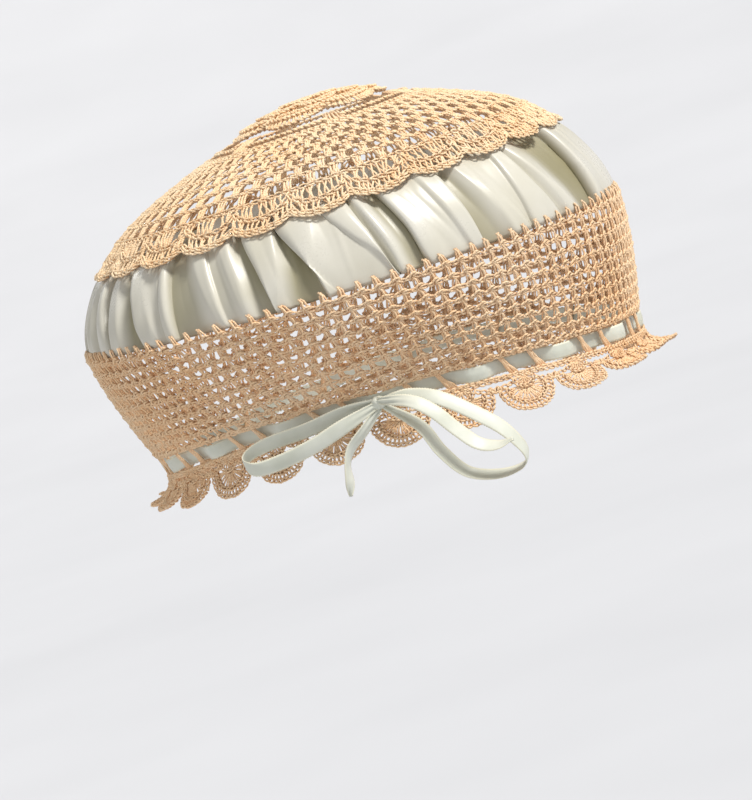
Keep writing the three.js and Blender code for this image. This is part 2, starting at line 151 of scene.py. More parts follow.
def wander(seed: int, x: np.ndarray, y: np.ndarray, columns: int, rows: int) -> np.ndarray:
    """Read smooth chance values on a patch that closes on itself along x.

    Args:
        seed: which chance values.
        x: place along the closed way, from 0 to 1.
        y: place along the open way, from 0 to 1.
        columns: how many swings fit along x.
        rows: how many swings fit along y.

    Returns:
        Values from -1 to 1.
    """
    grid = np.random.default_rng(seed).uniform(-1, 1, (columns, rows + 2))
    across, up = (x % 1) * columns, np.clip(y, 0, 1) * rows
    i, j = np.floor(across).astype(int) % columns, np.floor(up).astype(int)
    s, t = eased_step(across - np.floor(across)), eased_step(up - np.floor(up))
    n = (i + 1) % columns
    return lerp(lerp(grid[i, j], grid[n, j], s), lerp(grid[i, j + 1], grid[n, j + 1], s), t)


@dataclass(frozen=True)
class Ring:
    """An ellipse round the head, by its length from front to back and its width."""

    length: float
    width: float


@dataclass(frozen=True)
class CapForm:
    """The cap's form: the inner face of its crochet, from the opening to the top."""

    opening: Ring = Ring(208.0, 172.0)
    girth: Ring = Ring(232.0, 210.0)
    rim: Ring = Ring(199.0, 180.0)
    side_rise: float = 54.0
    band_rise: float = 33.0
    dome_rise: float = 37.5
    back_shift: float = 4.5
    ear_lift: float = 8.0
    rim_tilt: float = 2.5
    crown_lean: float = 6.0
    satin_puff: float = 2.0
    puff_roundness: float = 0.6
    side_profile: tuple = ((0, 0), (0.15, 0.2), (0.4, 0.52), (0.7, 0.82), (1, 1))
    band_profile: tuple = ((0, 1), (0.3, 0.8), (0.6, 0.52), (0.85, 0.23), (1, 0))
    dome_profile: tuple = (
        (0, 1), (0.15, 0.97), (0.3, 0.9), (0.45, 0.78), (0.6, 0.64), (0.75, 0.48), (0.88, 0.29), (1, 0)
    )

    def point(self, angle: np.ndarray, level: np.ndarray) -> np.ndarray:
        """Return the points of the form at angles and levels."""
        angle, level = np.broadcast_arrays(np.asarray(angle, float), np.asarray(level, float))
        around = np.radians(angle)
        side = eased(self.side_profile, np.clip(level, 0, 1))
        band = eased(self.band_profile, np.clip(level - 1, 0, 1))
        share = np.clip(3 - level, 0, 1)
        low, middle = level <= 1, level <= 2
        rings = (self.opening, self.girth, self.rim)
        ways = ([ring.length for ring in rings], [ring.width for ring in rings])
        length, width = (
            np.where(low, lerp(opening, girth, side), np.where(middle, lerp(rim, girth, band), rim * share))
            for opening, girth, rim in ways
        )
        on_side = self.side_rise * level + self.ear_lift * np.sin(around) ** 2 * (1 - level)
        tilt = self.rim_tilt * np.cos(around)
        on_band = self.side_rise + (self.band_rise + tilt) * (level - 1)
        on_dome = self.side_rise + self.band_rise + self.dome_rise * eased(self.dome_profile, share) + tilt * share
        height = np.where(low, on_side, np.where(middle, on_band, on_dome))
        back = self.back_shift * np.minimum(level, 1) - self.crown_lean * (1 - share) * (level > 2)
        return np.stack([-width / 2 * np.sin(around), back - length / 2 * np.cos(around), height], axis=-1)

    def normal(self, angle: np.ndarray, level: np.ndarray) -> np.ndarray:
        """Return the directions away from the head, eased over the seams."""
        reach, turn, top = 0.05, 0.5, 2.999
        level = np.asarray(level, float)
        up = self.point(angle, np.minimum(level + reach, top)) - self.point(angle, level - reach)
        along = self.point(angle + turn, level) - self.point(angle - turn, level)
        return unit(np.cross(up, along))

    def off(self, angle: np.ndarray, level: np.ndarray, out: np.ndarray) -> np.ndarray:
        """Return points that lie off the form by a distance away from the head."""
        return self.point(angle, level) + self.normal(angle, level) * np.asarray(out, float)[..., None]

    def puff(self, level: np.ndarray) -> np.ndarray:
        """Return how far the satin's crests stand off the form at levels."""
        share = np.clip(np.asarray(level, float) - 1, 0, 1)
        return self.satin_puff * np.maximum(np.sin(np.pi * share), 0) ** self.puff_roundness

    @property
    def opening_round(self) -> float:
        """Length once round the opening."""
        return math.pi * (self.opening.length + self.opening.width) / 2

    @property
    def side_slope(self) -> float:
        """Length up the side, which is one level."""
        return math.hypot(self.side_rise, (self.girth.length - self.opening.length) / 2)

    @property
    def band_slope(self) -> float:
        """Length up the band, which is one level."""
        return math.hypot(self.band_rise, (self.girth.length - self.rim.length) / 2)

    @property
    def dome_slope(self) -> float:
        """Length up the dome, which is one level."""
        return math.hypot(self.dome_rise, self.rim.length / 2)


FORM = CapForm()


class Value:
    """A shader socket that sums up in maths nodes by plain arithmetic."""

    def __init__(self, graph: "Graph", socket: bpy.types.NodeSocket) -> None:
        """Keep the socket and the graph that it is in."""
        self.graph, self.socket = graph, socket

    def maths(self, operation: str, *others: object) -> "Value":
        """Return the result of a maths node on this value and others."""
        return self.graph.node("ShaderNodeMath", {"operation": operation}, dict(enumerate((self, *others))))

    def __add__(self, other: object) -> "Value":
        """Return the sum."""
        return self.maths("ADD", other)

    def __rsub__(self, other: object) -> "Value":
        """Return the difference from a number."""
        return self.graph.node("ShaderNodeMath", {"operation": "SUBTRACT"}, {0: other, 1: self})

    def __mul__(self, other: object) -> "Value":
        """Return the product."""
        return self.maths("MULTIPLY", other)

    def __pow__(self, other: object) -> "Value":
        """Return the power."""
        return self.maths("POWER", other)

    __radd__ = __add__

    def wave(self, turns: float = 1.0) -> "Value":
        """Return a wave from 0 to 1 that has so many turns to a step of one."""
        return (self * (turns * math.tau)).maths("SINE") * 0.5 + 0.5

    def between(self, low: float, high: float) -> "Value":
        """Return where the value is between two limits, from 0 to 1."""
        inputs = {"Value": self, "From Min": low, "From Max": high}
        return self.graph.node("ShaderNodeMapRange", {"clamp": True}, inputs)


class Graph:
    """The node tree of one material, with a Principled shader at its end."""

    def __init__(self, name: str, **settings: object) -> None:
        """Start a material.

        Args:
            name: the material's name.
            settings: values of the shader's sockets that are the same all over, by name with underscores.
        """
        self.material = bpy.data.materials.new(name)
        self.material.use_nodes = True
        self.tree = self.material.node_tree
        self.shader = self.tree.nodes["Principled BSDF"]
        for key, value in settings.items():
            self.shader.inputs[key.replace("_", " ")].default_value = value

    def node(self, kind: str, settings: dict | None = None, inputs: dict | None = None, output: object = 0) -> Value:
        """Add a node.

        Args:
            kind: the node's type.
            settings: its properties, which are set first.
            inputs: values or links of its sockets, by name or number.
            output: the output that is wanted, by name or number.

        Returns:
            The output's socket.
        """
        made = self.tree.nodes.new(kind)
        for key, value in (settings or {}).items():
            setattr(made, key, value)
        for key, value in (inputs or {}).items():
            if isinstance(value, Value):
                self.tree.links.new(value.socket, made.inputs[key])
            else:
                made.inputs[key].default_value = value
        return Value(self, made.outputs[output])

    def chance(self, scale: float, detail: float = 2.0) -> Value:
        """Return soft chance values from 0 to 1, with so many swings to the metre."""
        place = self.node("ShaderNodeTexCoord", output="Object")
        inputs = {"Vector": place, "Scale": scale, "Detail": detail}
        return self.node("ShaderNodeTexNoise", None, inputs, "Fac")

    def attribute(self, name: str) -> Value:
        """Return a number that the mesh holds at each corner."""
        return self.node("ShaderNodeAttribute", {"attribute_name": name}, None, "Fac")

    def ways(self, name: str) -> tuple:
        """Return both ways of a UV map."""
        spread = self.node("ShaderNodeUVMap", {"uv_map": name})
        return tuple(self.node("ShaderNodeSeparateXYZ", None, {0: spread}, way) for way in ("X", "Y"))

    def blend(self, share: object, low: object, high: object) -> Value:
        """Return a colour between two others."""
        return self.node("ShaderNodeMix", {"data_type": "RGBA"}, {0: share, 6: low, 7: high}, 2)

    def lead(self, name: str, value: Value) -> None:
        """Link a value to one of the shader's sockets."""
        self.tree.links.new(value.socket, self.shader.inputs[name])

    def relief(self, height: Value, depth: float) -> None:
        """Raise the surface by a height from 0 to 1 times a depth in millimetres."""
        inputs = {"Height": height, "Distance": depth * MM, "Strength": 1.0}
        self.lead("Normal", self.node("ShaderNodeBump", None, inputs))


def paint(red: int, green: int, blue: int) -> tuple:
    """Return a shader colour for a colour as seen on a screen, from 0 to 255."""
    return tuple(((channel / 255 + 0.055) / 1.055) ** 2.4 for channel in (red, green, blue)) + (1.0,)


@dataclass(frozen=True)
class CottonThread:
    """Mercerised crochet cotton in a faded peach, plied from fine yarns, with painted shade that darkens strands lying
    deep towards the head and the grooves between the plies.
    """

    name: str = "peach_cotton"
    face: tuple = (252, 217, 170)
    # fold: the colour of the painted shade in the recesses between strands and plies.
    fold: tuple = (188, 118, 64)
    faded: tuple = (255, 238, 206)
    ply_turn: float = 1.1
    ply_depth: float = 0.12
    ply_shade: float = 0.18
    fold_shade: float = 0.62

    def make(self) -> bpy.types.Material:
        """Return the material."""
        graph = Graph(self.name, Roughness=0.72, Sheen_Weight=0.35, Sheen_Roughness=0.4, Specular_IOR_Level=0.3)
        graph.shader.inputs["Sheen Tint"].default_value = paint(*self.faded)
        around, along = graph.ways("thread")
        ply = (along * (1 / self.ply_turn) + around * 2).wave()
        drift = graph.chance(22.0).between(0.35, 0.65)
        stitch = graph.chance(420.0, 1.0).between(0.3, 0.7)
        fibre = graph.chance(5200.0)
        # Painted shade: deep strands and the grooves between the plies are blended towards the fold colour.
        depth = graph.attribute("depth")
        worn = graph.blend(drift * 0.5 + stitch * 0.5, paint(*self.face), paint(*self.faded))
        shade = (1 - depth) * self.fold_shade + (1 - ply) * self.ply_shade
        graph.lead("Base Color", graph.blend(shade, worn, paint(*self.fold)))
        graph.lead("Roughness", 0.62 + fibre * 0.25)
        graph.relief(ply * 0.75 + fibre * 0.35, self.ply_depth)
        return graph.material


@dataclass(frozen=True)
class CeladonSatin:
    """Silk satin in a pale celadon, mottled with a warmer tone, with painted shade in an olive tone in the valleys of
    its folds.
    """

    name: str = "celadon_satin"
    face: tuple = (210, 207, 196)
    # fold: the olive colour of the painted shade in the folds' valleys.
    aged: tuple = (190, 185, 164)
    fold: tuple = (122, 113, 64)
    threads: float = 4.2
    thread_depth: float = 0.004
    fold_shade: float = 0.8

    def make(self) -> bpy.types.Material:
        """Return the material."""
        graph = Graph(self.name, Sheen_Weight=0.15, Sheen_Roughness=0.3, Specular_IOR_Level=0.6, Anisotropic=0.45)
        along, up = graph.ways("cloth")
        warp, weft = along.wave(self.threads), up.wave(self.threads * 0.6)
        mottle = graph.chance(38.0, 3.0).between(0.3, 0.75)
        slub = graph.chance(900.0, 1.0).between(0.35, 0.65)
        # Painted shade: the valleys of the folds are blended towards the olive fold colour, and made rougher.
        valley = graph.attribute("valley")
        cloth = graph.blend(mottle * 0.55, paint(*self.face), paint(*self.aged))
        graph.lead("Base Color", graph.blend(valley ** 1.3 * self.fold_shade, cloth, paint(*self.fold)))
        graph.lead("Roughness", 0.24 + mottle * 0.1 + valley * 0.15 + slub * 0.04)
        graph.relief(warp * 0.6 + weft * 0.25 + slub * 0.5, self.thread_depth)
        return graph.material


@dataclass(frozen=True)
class NarrowRibbonSatin:
    """Narrow satin ribbon in a pale grey green, ribbed across, with feathered edges."""

    name: str = "narrow_ribbon_satin"
    face: tuple = (216, 218, 206)
    aged: tuple = (188, 191, 174)
    edge: tuple = (232, 228, 204)
    ribs: float = 2.6
    rib_depth: float = 0.03
    warps: float = 5.0

    def make(self) -> bpy.types.Material:
        """Return the material."""
        graph = Graph(self.name, Sheen_Weight=0.2, Sheen_Roughness=0.3, Specular_IOR_Level=0.55)
        across, along = graph.ways("cloth")
        rib, warp = along.wave(self.ribs), across.wave(self.warps)
        mottle = graph.chance(70.0, 3.0).between(0.3, 0.7)
        hem = graph.attribute("hem")
        cloth = graph.blend(mottle * 0.7, paint(*self.face), paint(*self.aged))
        graph.lead("Base Color", graph.blend(hem * 0.8, cloth, paint(*self.edge)))
        graph.lead("Roughness", 0.36 + mottle * 0.1 + hem * 0.25)
        graph.relief(rib * 0.5 + warp * 0.3 + hem * rib * 0.8, self.rib_depth)
        return graph.material


@dataclass(frozen=True)
class PalePaper:
    """The studio's plain pale floor."""

    name: str = "pale_paper"
    tone: tuple = (196, 197, 200)
    lightening: int = 6

    def make(self) -> bpy.types.Material:
        """Return the material."""
        graph = Graph(self.name, Roughness=0.95, Specular_IOR_Level=0.1)
        shade = graph.chance(2.0).between(0.2, 0.8)
        lighter = tuple(channel + self.lightening for channel in self.tone)
        graph.lead("Base Color", graph.blend(shade, paint(*self.tone), paint(*lighter)))
        return graph.material


def let_go() -> None:
    """Deselect every object."""
    bpy.ops.object.select_all(action="DESELECT")


def take(piece: bpy.types.Object) -> None:
    """Select one object alone and make it active."""
    let_go()
    piece.select_set(True)
    bpy.context.view_layer.objects.active = piece


def settle(piece: bpy.types.Object, material: bpy.types.Material, nodes: tuple) -> None:
    """Finish a piece: give it its material, hang it on the body and hide the frame's nodes that it stands for.

    Args:
        piece: the object, which lies where it belongs.
        material: its finish.
        nodes: the frame's nodes that it replaces.
    """
    piece.data.materials.clear()
    piece.data.materials.append(material)
    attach(piece, BODY)
    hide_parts(*nodes)
    piece.data.calc_loop_triangles()
    log.info("%s: %d triangles", piece.name, len(piece.data.loop_triangles))


def cut_across(rows: int) -> None:
    """Cut the active cylinder across, into rows of corners at equal heights."""
    bpy.ops.object.mode_set(mode="EDIT")
    for row in range(1, rows - 1):
        bpy.ops.mesh.select_all(action="SELECT")
        bpy.ops.mesh.bisect(plane_co=(0, 0, row / (rows - 1) - 0.5), plane_no=(0, 0, 1))
    bpy.ops.object.mode_set(mode="OBJECT")


@dataclass
class ThreadBar:
    """A straight bar of thread, modelled once and bent along the path of every strand."""

    sides: int
    rings: int

    def __post_init__(self) -> None:
        """Model the bar and read its corners and faces."""
        let_go()
        bpy.ops.mesh.primitive_cylinder_add(vertices=self.sides, radius=1, depth=1, end_fill_type="NGON")
        bar = bpy.context.object
        cut_across(self.rings)
        corners = np.array([vertex.co for vertex in bar.data.vertices])
        self.ring_of = np.rint((corners[:, 2] + 0.5) * (self.rings - 1)).astype(int)
        self.round = corners[:, :2]
        turn = np.arctan2(corners[:, 1], corners[:, 0]) / math.tau % 1
        loops, starts, spread = [], [], []
        for face in bar.data.polygons:
            starts.append(len(loops))
            turns = turn[list(face.vertices)]
            if np.ptp(turns) > 0.5:
                turns = np.where(turns < 0.5, turns + 1, turns)
            loops.extend(face.vertices)
            spread.extend(turns)
        self.loops, self.starts, self.spread = np.array(loops), np.array(starts), np.array(spread)
        bpy.data.meshes.remove(bar.data)


@dataclass(frozen=True)
class Stitch:
    """A crochet stitch: the lines of its strands in a cell.

    Each line is a row of points: a share of the stitch's width, a share of its height, and a distance out in mm.
    """

    lines: tuple

    def worked(self, width: np.ndarray, height: np.ndarray) -> np.ndarray:
        """Return every line's points, with widths and heights in their own units and outs as they are."""
        table = np.array(self.lines, dtype=float)
        scale = np.stack([width, height, np.ones_like(width)], axis=-1)
        return table[None] * scale[:, None, None, :]


TREBLE = Stitch(
    (
        ((-0.16, -0.06, 0.55), (-0.05, 0.3, 1.25), (0.1, 0.68, 0.95), (0.16, 1.02, 0.6)),
        ((0.2, -0.04, 0.5), (0.14, 0.34, 0.7), (-0.12, 0.7, 1.2), (-0.16, 1.0, 0.7)),
    )
)
POST = Stitch(
    (
        ((-0.26, -0.08, 0.3), (-0.17, 0.32, 0.8), (-0.15, 0.7, 0.9), (0.02, 1.05, 0.7)),
        ((0.26, -0.04, 0.45), (0.2, 0.34, 0.75), (0.13, 0.72, 0.9), (-0.08, 1.06, 0.9)),
        ((0.0, -0.1, 0.75), (0.02, 0.3, 1.3), (-0.02, 0.66, 1.4), (0.12, 1.1, 1.0)),
    )
)
BAR = Stitch(
    (
        ((-0.1, -0.06, 0.35), (-0.02, 0.36, 1.05), (0.07, 0.72, 0.95), (0.1, 1.04, 0.5)),
        ((0.13, -0.02, 0.5), (0.11, 0.34, 0.8), (0.02, 0.7, 1.15), (-0.06, 1.0, 0.8)),
    )
)
PETAL = Stitch(
    (
        ((-0.16, -0.04, 0.3), (-0.05, 0.3, 1.7), (0.1, 0.68, 2.1), (0.16, 1.02, 0.8)),
        ((0.2, -0.02, 0.2), (0.14, 0.34, 1.4), (-0.12, 0.7, 2.2), (-0.16, 1.0, 0.9)),
    )
)
LOOP = Stitch((((-0.5, 0.1, 0.7), (-0.2, 0.75, 1.55), (0.25, 0.6, 1.7), (0.5, -0.45, 0.8)),))
CHAIN = Stitch(
    (
        ((-0.12, 0.0, 0.35), (0.22, 0.85, 0.85), (0.68, 0.9, 1.35), (1.1, 0.1, 1.3)),
        ((-0.12, 0.0, 0.35), (0.22, -0.85, 0.75), (0.68, -0.9, 1.2), (1.1, -0.1, 1.3)),
    )
)


@dataclass
class Cotton:
    """Cotton thread, in millimetres, with the bars of thread that its strands are bent from."""

    material: bpy.types.Material
    thread: float = 0.42
    chain_rise: float = 0.72
    slack: float = 0.2
    # How much of the painted shade is lifted: below one, a whole piece is painted darker, as painted shade on the side
    # away from the key light.
    painted_light: float = 1.0
    seed: int = 7
    fine: ThreadBar = field(default_factory=lambda: ThreadBar(5, 8))
    plain: ThreadBar = field(default_factory=lambda: ThreadBar(4, 5))
    short: ThreadBar = field(default_factory=lambda: ThreadBar(4, 4))

    def __post_init__(self) -> None:
        """Start the chance that makes each stitch a little different."""
        self.chance = np.random.default_rng(self.seed)


class Skein:
    """Strands of one cotton, worked over one surface, that become one mesh.

    The surface is a function of two ways and an out in millimetres that gives points and directions away from
    the head.
    """

    def __init__(self, name: str, cotton: Cotton, surface: Callable) -> None:
        """Start with no strands."""
        self.name, self.cotton, self.surface = name, cotton, surface
        self.batches = []

    def work(
        self, stitch: Stitch, start: tuple, width: object, height: object, turn: np.ndarray, bar: ThreadBar,
        lift: object = 0.0,
    ) -> None:
        """Work one kind of stitch many times. Each value is one for every stitch or an array.

        Args:
            stitch: its lines.
            start: where each stitch begins, as its two ways.
            width: the stitches' widths.
            height: the stitches' heights.
            turn: how far each stitch leans from the second way, in radians, as an array.
            bar: the bar of thread that is bent.
            lift: how far the stitches lie further out.
        """
        cotton, count = self.cotton, turn.shape
        width, height = np.broadcast_to(width, count), np.broadcast_to(height, count)
        table = stitch.worked(width.astype(float), height)
        table = table + cotton.chance.normal(0, cotton.slack, table.shape) * (0.8, 0.8, 0.6)
        x, y, out = np.moveaxis(through(table, bar.rings), -1, 0)
        first, second, lift, turn = (np.broadcast_to(each, count)[:, None, None] for each in (*start, lift, turn))
        along, up = x * np.cos(turn) + y * np.sin(turn), y * np.cos(turn) - x * np.sin(turn)
        paths, facing = self.surface(first + along, second + up, out + lift)
        shape = (-1, bar.rings, 3)
        # Painted shade: rings that lie deep, nearer the head, get a low value, which the finish paints darker; the
        # cotton's share of painted light scales it for the whole piece.
        depth = cotton.painted_light * np.clip(out - 0.2, 0, 1).reshape(shape[:2])
        self.lay(paths.reshape(shape), facing.reshape(shape), depth, bar)

    def chain(self, line: np.ndarray, count: int, lift: float = 0.0) -> None:
        """Work a line of chain stitches.

        Args:
            line: its points in the surface's two ways.
            count: how many stitches it has, or 0 for one between each two points.
            lift: how far it lies further out.
        """
        if count:
            run = run_along(line)
            marks = np.linspace(0, run[-1], count + 1)
            line = np.stack([np.interp(marks, run, way) for way in line.T], axis=-1)
        heading = np.diff(line, axis=0)
        turn, width = -np.arctan2(heading[:, 1], heading[:, 0]), np.linalg.norm(heading, axis=1)
        self.work(CHAIN, line[:-1].T, width, self.cotton.chain_rise, turn, self.cotton.plain, lift)

    def lay(self, paths: np.ndarray, facing: np.ndarray, depth: np.ndarray, bar: ThreadBar) -> None:
        """Bend bars of thread along paths.

        Args:
            paths: the strands' lines in millimetres, as an array (strands, rings, 3).
            facing: directions away from the head, of the same shape.
            depth: how near the surface each ring lies, from 0 to 1, which sets how much painted shade the finish gives
                it.
            bar: the bar that is bent.
        """
        heading = unit(np.gradient(paths, axis=1))
        across = unit(np.cross(heading, facing) + 1e-4)
        outward = np.cross(across, heading)
        ring = bar.ring_of
        girth = across[:, ring] * bar.round[:, 0, None] + outward[:, ring] * bar.round[:, 1, None]
        steps = np.linalg.norm(np.diff(paths, axis=1), axis=-1)
        run = np.concatenate([np.zeros((len(paths), 1)), np.cumsum(steps, axis=1)], axis=1)
        self.batches.append((paths[:, ring] + self.cotton.thread * girth, depth[:, ring], run, bar))

    def wind(self, slot: str, node: str) -> None:
        """Make the mesh of all strands and finish the piece."""
        corners, depths, loops, starts, spreads = [], [], [], [], []
        vertex_base = loop_base = 0
        for places, depth, run, bar in self.batches:
            count, size = places.shape[:2]
            each = np.arange(count)[:, None]
            loops.append((bar.loops + vertex_base + size * each).ravel())
            starts.append((bar.starts + loop_base + len(bar.loops) * each).ravel())
            along = run[:, bar.ring_of[bar.loops]]
            spreads.append(np.stack(np.broadcast_arrays(bar.spread, along), axis=-1).reshape(-1, 2))
            corners.append(places.reshape(-1, 3))
            depths.append(depth.ravel())
            vertex_base += count * size
            loop_base += count * len(bar.loops)
        mesh = bpy.data.meshes.new(self.name)
        mesh.vertices.add(vertex_base)
        mesh.loops.add(loop_base)
        mesh.polygons.add(sum(map(len, starts)))
        mesh.vertices.foreach_set("co", (np.concatenate(corners) * MM).ravel())
        mesh.loops.foreach_set("vertex_index", np.concatenate(loops))
        mesh.polygons.foreach_set("loop_start", np.concatenate(starts))
        mesh.uv_layers.new(name="thread").data.foreach_set("uv", np.concatenate(spreads).ravel())
        # The depth attribute carries the painted shade to the finish.
        mesh.attributes.new("depth", "FLOAT", "POINT").data.foreach_set("value", np.concatenate(depths))
        mesh.update(calc_edges=True)
        mesh.shade_smooth()
        piece = bpy.data.objects.new(self.name, mesh)
        bpy.context.collection.objects.link(piece)
        settle(piece, self.cotton.material, (node,))


def form_surface(per_degree: float, per_level: float) -> Callable:
    """Return the cap's form as a surface whose two ways are in millimetres.

    Args:
        per_degree: millimetres of the first way to a degree round the cap.
        per_level: millimetres of the second way to a level.

    Returns:
        The surface, for a skein.
    """

    def surface(along: np.ndarray, up: np.ndarray, out: np.ndarray) -> tuple:
        """Return points and directions away from the head."""
        angle, level = along / per_degree, up / per_level
        facing = FORM.normal(angle, level)
        return FORM.point(angle, level) + facing * out[..., None], facing

    return surface


@dataclass
class SideNet:
    """The side: rounds of posts joined by sagging chains, whose last round bites over the satin's lower edge."""

    columns: int = 108
    rounds: int = 9
    low_gap: float = 5.9
    high_gap: float = 2.6
    first_height: float = 4.5
    last_height: float = 5.8
    front_lean: float = 0.08
    back_lean: float = 0.4
    lean_from: float = 50.0
    lean_over: float = 80.0
    bite: float = 3.2
    sag: float = 0.7
    post_width: float = 5.6
    post_sway: float = 0.06
    loop_width: float = 3.9
    loop_rise: float = 1.7
    chain_sway: float = 0.22
    girth_pitch: float = 6.43

    def lean(self, column: np.ndarray) -> np.ndarray:
        """Return how far the posts lean at columns, as millimetres along to a millimetre up."""
        away = np.abs(shorter(column * 360 / self.columns))
        share = np.clip((away - self.lean_from) / self.lean_over, 0, 1)
        return lerp(self.front_lean, self.back_lean, eased_step(share))

    def build(self, cotton: Cotton) -> None:
        """Work the net in two skeins, so that neither is too large."""
        level = FORM.side_slope
        surface = form_surface(self.girth_pitch * self.columns / 360, level)
        heights = np.linspace(self.first_height, self.last_height, self.rounds)
        share = (level - self.low_gap - self.high_gap) / heights.sum()
        lines = self.low_gap + np.concatenate([[0], np.cumsum(heights)]) * share
        lower, upper = (Skein(name, cotton, surface) for name in ("side_net_lower", "side_net_upper"))
        whole, half = np.arange(self.columns), np.arange(2 * self.columns + 1) / 2
        lean = self.lean(whole)
        for row, low in enumerate(lines):
            skein = lower if row <= self.rounds // 2 else upper
            height = level + self.bite - low if row == self.rounds else lines[row + 1] - low
            start = (whole * self.girth_pitch + lean * (low - self.low_gap), low)
            turn = np.arctan(lean) + cotton.chance.normal(0, self.post_sway, self.columns)
            skein.work(POST, start, self.post_width, height * np.hypot(1, lean), turn, cotton.short)
            skein.work(LOOP, start, self.loop_width, self.loop_rise, turn, cotton.plain)
            along = half * self.girth_pitch + self.lean(half) * (low - self.low_gap)
            path = np.stack([along, low + 0 * half], axis=-1)
            path[1::2, 1] -= self.sag
            path[1:-1] += cotton.chance.normal(0, self.chain_sway, path[1:-1].shape)
            skein.chain(path, 0)
        for skein in (lower, upper):
            skein.wind("side_cotton", "side_net")


@dataclass
class EyeletRow:
    """Two rails of chain with long posts between them, which the narrow ribbon is threaded through."""

    posts: int = 48
    first: float = 80.0
    half_height: float = 5.2
    lean: float = 0.4
    strands: int = 3
    strand_gap: float = 0.95
    strand_slant: float = 1.3
    strand_turn: float = 0.09
    post_width: float = 3.4
    rail_stitches: int = 240

    def build(self, cotton: Cotton) -> None:
        """Work the rails and posts."""
        per_degree = FORM.opening_round / 360
        skein = Skein("eyelet_row", cotton, form_surface(per_degree, FORM.side_slope))
        circle = np.linspace(0, 360, 2 * self.rail_stitches + 1) * per_degree
        for height in (-self.half_height, self.half_height):
            skein.chain(np.stack([circle, 0 * circle + height], axis=-1), self.rail_stitches)
        foot = (self.first + np.arange(self.posts) * 360 / self.posts) * per_degree - self.lean * self.half_height
        for strand in range(self.strands):
            spread = (strand - (self.strands - 1) / 2) * self.strand_gap
            turn = np.full(self.posts, math.atan(self.lean)) - spread * self.strand_turn
            start = (foot + spread * self.strand_slant, -self.half_height)
            skein.work(BAR, start, self.post_width, 2 * self.half_height, turn, cotton.fine)
        skein.wind("side_cotton", "eyelet_row")


